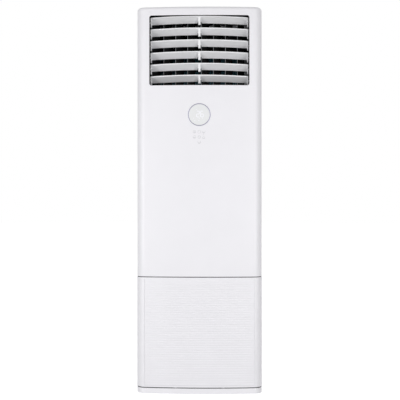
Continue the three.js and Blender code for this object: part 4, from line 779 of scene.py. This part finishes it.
lit_white, tree, place = start_finish(
    "acrylic, lit from behind", Roughness=0.4, Emission_Strength=0.05, Emission_Color=linear("#FFFFFF"))
glow = add(tree, "ShaderNodeTexNoise", {"Vector": place, "Scale": 40.0, "Detail": 1.0}).outputs["Fac"]
add(tree, "ShaderNodeMix", {0: glow, 6: "#F1F1F8", 7: "#F5F5FB"}, (2, "Base Color"), data_type="RGBA")
figure_width, figure_height, stroke = 0.0165, 0.0320, 0.0030
sign_lift, sign_root, bar_gap, figures_rise = 0.00012, 0.0006, 0.0006, 0.0025


def segment(x, z, length, upright):
    """One lit bar with pointed ends, lying on the lens, which domes a little."""
    half, point = length / 2, stroke / 2
    outline = np.array([
        [-half, 0], [point - half, -point], [half - point, -point],
        [half, 0], [half - point, point], [point - half, point],
    ])  # fmt: skip
    outline = outline[:, ::-1] if upright else outline
    across, up = outline.T + [[x], [z]]
    depth = front_y - lens_proud + lens_fall * (across**2 + (up - display_z) ** 2) / lens_radius**2
    ring = np.stack([across, depth - sign_lift, up], -1)
    closed = np.concatenate([ring, ring[:1]])
    return [np.stack([closed, closed + [0, sign_root, 0]])], [ring]


def figure(x, lit):
    """A seven-bar figure about a place across the lens. Lit says which bars show, in the order top, upper
    left, upper right, middle, lower left, lower right and bottom."""
    wide, high = figure_width - stroke, (figure_height - stroke) / 2
    centre = display_z + figures_rise
    bars = [
        (0, high, False), (-wide / 2, high / 2, True), (wide / 2, high / 2, True), (0, 0, False),
        (-wide / 2, -high / 2, True), (wide / 2, -high / 2, True), (0, -high, False),
    ]  # fmt: skip
    return [segment(x + dx, centre + dz, (high if upright else wide) - bar_gap, upright)
            for (dx, dz, upright), on in zip(bars, lit) if on]


shown = figure(-0.0065, (1, 0, 1, 1, 1, 0, 1)) + figure(0.0135, (1, 1, 0, 1, 1, 1, 1))
signs = (
    (-0.014, 0.0250, 0.005, True), (-0.0284, -0.0180, 0.005, True), (-0.0215, -0.0300, 0.006, True),
    (0.0, -0.0185, 0.006, False), (-0.002, -0.0300, 0.006, False), (0.017, -0.0185, 0.005, True),
)  # fmt: skip
shown += [segment(x, display_z + up, length, upright) for x, up, length, upright in signs]
piece("figures", surface("figures", *gather(*shown)), lit_white, "cabinet")


# ---- Touch key marks ----
# Seven faint grey marks are pad printed below the display, each within a ring some 16 mm wide; they are plain
# strokes of ink that lie on the bowed face.

key_ink, tree, place = start_finish("pad printing ink, pale grey, matt", Roughness=0.6)
wear = add(tree, "ShaderNodeTexNoise", {"Vector": place, "Scale": 300.0, "Detail": 2.0}).outputs["Fac"]
add(tree, "ShaderNodeMix", {0: wear, 6: "#BDBDC1", 7: "#C9C9CD"}, (2, "Base Color"), data_type="RGBA")
ink_width, ink_lift, ink_root = 0.0011, 0.00008, 0.0003


def stroke_along(points, closed=False):
    """A ribbon of ink along a line of (x, z), a little proud of the bowed panel."""
    points = np.asarray(points, float)
    after, before = np.roll(points, -1, 0), np.roll(points, 1, 0)
    if not closed:
        after[-1], before[0] = points[-1], points[0]
    along = after - before
    normal = np.stack([-along[:, 1], along[:, 0]], -1) / np.hypot(*along.T)[:, None]
    edges = [points + normal * ink_width / 2, points - normal * ink_width / 2]
    lines = [(edges[0], -ink_lift), (edges[1], -ink_lift), (edges[1], ink_root), (edges[0], ink_root)]
    rows = [np.stack([edge[:, 0], bow_y(edge[:, 0]) + depth, edge[:, 1]], -1) for edge, depth in lines]
    grid = np.stack([*rows, rows[0]])
    if closed:
        return [np.concatenate([grid, grid[:, :1]], 1)], []
    return [grid], [grid[:-1, 0], grid[:-1, -1]]


def ring_mark(x, z, radius, start=0, end=360):
    """A ring, or a part of one from start to end in degrees."""
    steps = max(8, round((end - start) / 12))
    points = arc((x, z), radius, start, end, steps)
    whole = end - start == 360
    return stroke_along(points[:-1] if whole else points, whole)


def dash(x, z, half, rise=0.0):
    """A straight stroke about a place, which climbs by twice the rise from left to right."""
    return stroke_along([[x - half, z - rise], [x + half, z + rise]])


key_left, key_middle, key_right = -0.024, 0.0, 0.022
key_top, key_centre, key_low = 1.308, 1.282, 1.257
key_radius = 0.0072
marks = [ring_mark(x, z, key_radius) for x in (key_left, key_middle) for z in (key_top, key_centre)]
marks.append(ring_mark(key_right, key_top, key_radius, 150, 390))
marks.append(ring_mark(key_middle, key_low, key_radius, 140, 400))
for x, z in ((key_left, key_top), (key_left, key_centre), (key_right, key_top)):
    for drop in (0.001, 0.0032):
        sag = [[x - 0.0045, z - drop], [x, z - drop - 0.0008], [x + 0.0045, z - drop]]
        marks.append(stroke_along(sag))
marks.append(ring_mark(key_left, key_top + 0.0006, 0.003))
marks.append(dash(key_middle, key_centre, 0.0035, -0.003))
marks.append(stroke_along([[key_right, 1.299], [key_right, 1.292]]))
peak = ((-0.0055, -0.004), (0.0, 0.006), (0.0055, -0.004))
marks.append(stroke_along([[key_right + across, key_centre + up] for across, up in peak]))
marks += [dash(key_right, key_centre - drop, 0.0065) for drop in (0.005, 0.0068)]
marks += [dash(key_middle, key_low - drop, 0.005) for drop in (0.0035, 0.0052)]
piece("key_marks", surface("key_marks", *gather(*marks)), key_ink, "cabinet")


# ---- Copper pipes and nuts ----
# Drawn copper runs from the coil to the flare nuts at the back; it darkens where it has been brazed and
# handled. The nuts are turned from brass bar.

drawn_copper, tree, place = start_finish("copper, drawn tube", Metallic=1.0, Roughness=0.3)
tarnish = add(tree, "ShaderNodeTexNoise", {"Vector": place, "Scale": 30.0, "Detail": 4.0}).outputs["Fac"]
add(tree, "ShaderNodeMix", {0: tarnish, 6: "#8E5432", 7: "#C98756"}, (2, "Base Color"), data_type="RGBA")
coat(drawn_copper, "gas_pipe", "liquid_pipe")
turned_brass, tree, place = start_finish("brass, turned", Metallic=1.0, Roughness=0.28)
marks = add(tree, "ShaderNodeTexWave", {"Vector": place, "Scale": 400.0}, bands_direction="Z").outputs["Fac"]
add(tree, "ShaderNodeMix", {0: marks, 6: "#B08F45", 7: "#CDB26A"}, (2, "Base Color"), data_type="RGBA")
coat(turned_brass, "gas_flare_nut", "liquid_flare_nut")


# ---- Coil ----
# Thin aluminium fins with the usual blue-green water-spreading coat stand side by side on the tubes. The
# pattern draws them finer than the CAD's comb: a fin each 1.6 mm, with painted shade in the gaps between.

coated_fins, tree, place = start_finish("aluminium, blue-green coat, fins with painted shade between", Metallic=0.4)
fin_pitch_mm = 1.6
fin_wave = {"Vector": place, "Scale": 1000 / fin_pitch_mm / 20}
# The wave's dark bands are painted shade between the fins; its light bands are the fins themselves.
fins = add(tree, "ShaderNodeTexWave", fin_wave, bands_direction="X").outputs["Fac"]
add(tree, "ShaderNodeMix", {0: fins, 6: "#14303A", 7: "#3E6D7A"}, (2, "Base Color"), data_type="RGBA")
add(tree, "ShaderNodeMapRange", {"Value": fins, "To Min": 0.6, "To Max": 0.45}, ("Result", "Roughness"))
coat(coated_fins, "coil_fins")


# ---- Painted shade inside ----
# Black sheets of painted shade with a closed-cell texture, 4 mm thick, stand round the outgoing air: inside
# the back and the lid, high on both sides, and along the coil's ends. They darken the depth behind the vanes.

# liner is the painted shade sheets' thickness; seal is the outline of the painted shade along each coil end.
liner = 0.004
side_face, back_face, lid_face = 0.3117, 0.2185, cabinet_height - skin
shade_sheet_low, shade_sheet_high = 1.765, 1.900
coil_foot, coil_lean, coil_span = np.array([-0.110, 0.990]), math.radians(19.1), 0.793
coil_up = np.array([math.sin(coil_lean), math.cos(coil_lean)])
coil_out = np.array([-coil_up[1], coil_up[0]])
coil_shade_low, coil_shade_high, coil_shade_gap = 0.02, coil_span - 0.01, 0.001
coil_shade_corners = rectangle(coil_shade_low, coil_shade_high, coil_shade_gap, coil_shade_gap + liner)
seal = np.array([coil_foot + coil_up * along + coil_out * out for along, out in coil_shade_corners])
wide = 0.29
painted_shade_sheets = {
    "back_painted_shade": prism("z", rectangle(-wide, wide, back_face - liner, back_face), 1.70, shade_sheet_high),
    "lid_painted_shade": prism("z", rectangle(-wide, wide, -0.03, 0.212), lid_face - liner, lid_face),
}
for side, which in ((-1, "left"), (1, "right")):
    wall = sorted((side * (side_face - liner), side * side_face))
    painted_shade_sheets[f"side_liner_{which}"] = prism("x", rectangle(-0.03, 0.205, shade_sheet_low, shade_sheet_high), *wall)
    painted_shade_sheets[f"coil_seal_{which}"] = prism("x", seal, *sorted((side * 0.2325, side * 0.300)))
for name, parts in painted_shade_sheets.items():
    piece(name, surface(name, *parts), painted_shade_black, "cabinet")


# ---- Inner mouldings, boards and the rest ----
# The scroll, drain pan and capacitor are unpolished grey polypropylene, the boards green lacquered laminate,
# the motors and wall plates zinc plated. Rubber rings line the holes for the pipes and the cable.

grey_pp = grained("polypropylene, grey, moulded", "#84878A", "#8F9295", 0.55, grain_mm=1.5)
coat(grey_pp, "scroll_casing", "scroll_front", "drain_pan", "fan_capacitor")
bright_steel = spangled_zinc("steel, zinc plated, bright", "#9DA2A6", "#C9CDD0", 3, 0.34)
coat(bright_steel, "louvre_motor", "vane_motor", "fan_motor", "fan_shaft", "wheel_nut")
coat(bright_steel, "wall_plate_left", "wall_plate_right")
lacquered_board = grained("glass laminate, green lacquer", "#275F3D", "#33764D", 0.35, grain_mm=0.5)
coat(lacquered_board, "main_board", "display_board")
seal_rubber = grained(
    "EPDM rubber, black, moulded", "#1B1B1C", "#262627", 0.8, grain_mm=1.0, relief_mm=0.05)
port_x, panel_outer, panel_inner, back_y, groove_play = 0.230, 0.226, 0.2245, 0.228, 0.0003
ports = (("pipe_grommet", port_x, 0.200, 0.036, 0.028), ("cable_grommet", -port_x, 0.150, 0.014, 0.007))
for name, x, z, port, bore in ports:
    groove, inside, outside = port - groove_play, panel_inner - groove_play, panel_outer + groove_play
    collar = arc((groove + 0.0026, outside + 0.0004), 0.0013, -60, 90, 6)
    flange_out = groove + 0.005
    rounded = np.array([
        [bore, inside - 0.0025], [bore + 0.0005, inside - 0.003], [flange_out, inside - 0.003],
        [flange_out, inside], [groove, inside], [groove, outside], *collar,
        [bore + 0.0005, back_y], [bore, back_y - 0.0005],
    ])  # fmt: skip
    grommet_mesh = surface(f"{name}_ring", [turned(rounded, x, z, 64)])
    piece(f"{name}_ring", grommet_mesh, seal_rubber, "cabinet", [name])


# ---- Screws ----
# Zinc plated pan heads, 8 mm wide, hold the back panel to the side panels' folds. Their drive recess is drawn
# as a small round pit.

head_radius, head_height, recess_depth = 0.004, 0.0019, 0.0012
recess_top, recess_floor, screw_x = 0.0011, 0.0007, 0.3040
screws = [(side * screw_x, z) for side in (-1, 1) for z in (0.08, 0.45, 0.82, 1.19, 1.56, 1.86)]


def pan_head(x, z):
    """A domed head that stands on the back panel, its section turned round: the height rises as a low power
    of the angle's sine, and a pit is sunk in the middle."""
    dome = [[head_radius * math.cos(a), panel_outer + head_height * math.sin(a) ** 0.6]
            for a in np.linspace(0.02, math.pi / 2 - 0.35, 7)]
    top = dome[-1][1]
    pit = [[recess_top, top], [recess_floor, top - recess_depth], [0.0, top - recess_depth]]
    profile = np.array([[0.0, panel_outer], [head_radius, panel_outer], *dome, *pit])
    return [turned(profile, x, z, 20)], []


heads = [pan_head(x, z) for x, z in screws]
piece("back_screws", surface("back_screws", *gather(*heads)), bright_steel, "cabinet")


# ---- Studio ----
# Not part of the object: a white floor that keeps its shadow, an even white surround, and two soft boxes. The
# camera stands level, 4.2 m in front of the face and a little to the right, as the photograph was taken.

paper_white = bpy.data.materials.new("paper, white, studio floor")
paper_white.use_nodes = True
tree = paper_white.node_tree
tree.nodes.clear()
matte = add(tree, "ShaderNodeBsdfDiffuse", {"Color": "#F4F4F4"}).outputs[0]
seen = add(tree, "ShaderNodeLightPath").outputs
rays = {0: seen["Is Camera Ray"], 1: seen["Is Glossy Ray"]}
directly = add(tree, "ShaderNodeMath", rays, operation="MAXIMUM").outputs[0]
glow = add(tree, "ShaderNodeMath", {0: directly, 1: 0.68}, operation="MULTIPLY").outputs[0]
lit = add(tree, "ShaderNodeEmission", {"Color": (1, 1, 1, 1), "Strength": glow}).outputs[0]
both = add(tree, "ShaderNodeAddShader", {0: matte, 1: lit}).outputs[0]
add(tree, "ShaderNodeOutputMaterial", {"Surface": both})
floor_mesh = bpy.data.meshes.new("studio_floor")
reach = 30
corners = [(-reach, -reach, 0), (reach, -reach, 0), (reach, reach, 0), (-reach, reach, 0)]
floor_mesh.from_pydata(corners, [], [(0, 1, 2, 3)])
floor_mesh.materials.append(paper_white)
studio_floor = bpy.data.objects.new("studio_floor", floor_mesh)
bpy.context.scene.collection.objects.link(studio_floor)

surround = bpy.data.worlds.new("studio surround")
surround.use_nodes = True
bpy.context.scene.world = surround
tree = surround.node_tree
seen = add(tree, "ShaderNodeLightPath").outputs
rays = {0: seen["Is Camera Ray"], 1: seen["Is Glossy Ray"]}
straight = add(tree, "ShaderNodeMath", rays, operation="MAXIMUM").outputs[0]
rays = {0: straight, 1: seen["Is Transmission Ray"]}
straight = add(tree, "ShaderNodeMath", rays, operation="MAXIMUM").outputs[0]
level = add(tree, "ShaderNodeMapRange", {"Value": straight, "To Min": 0.42, "To Max": 1.0}).outputs["Result"]
background = tree.nodes["Background"]
background.inputs["Color"].default_value = (1, 1, 1, 1)
tree.links.new(level, background.inputs["Strength"])


def lamp(name, size, power, place, target):
    """A square soft box that faces a target."""
    data = bpy.data.lights.new(name, "AREA")
    data.shape, data.size, data.energy = "SQUARE", size, power
    made = bpy.data.objects.new(name, data)
    made.location = place
    made.rotation_euler = Vector(np.subtract(target, place)).to_track_quat("-Z", "Y").to_euler()
    bpy.context.scene.collection.objects.link(made)
    return made


lamp_target = (0, -0.2, 1.1)
lamp("left_box", 1.6, 62, (-2.8, -3.4, 1.1), lamp_target)
lamp("right_box", 1.6, 52, (2.3, -3.7, 1.1), lamp_target)

scene = bpy.context.scene
scene.view_settings.view_transform = "Standard"
camera_data = bpy.data.cameras.new("camera")
camera_data.lens, camera_data.sensor_width = 75.83, 36.0
camera = bpy.data.objects.new("camera", camera_data)
azimuth, reach = math.radians(1.1), 4.2
camera.location = (0.0037 + reach * math.sin(azimuth), front_y - reach * math.cos(azimuth), 0.968)
camera.rotation_euler = (math.pi / 2, 0, azimuth)
scene.collection.objects.link(camera)
scene.camera = camera

bpy.context.view_layer.update()
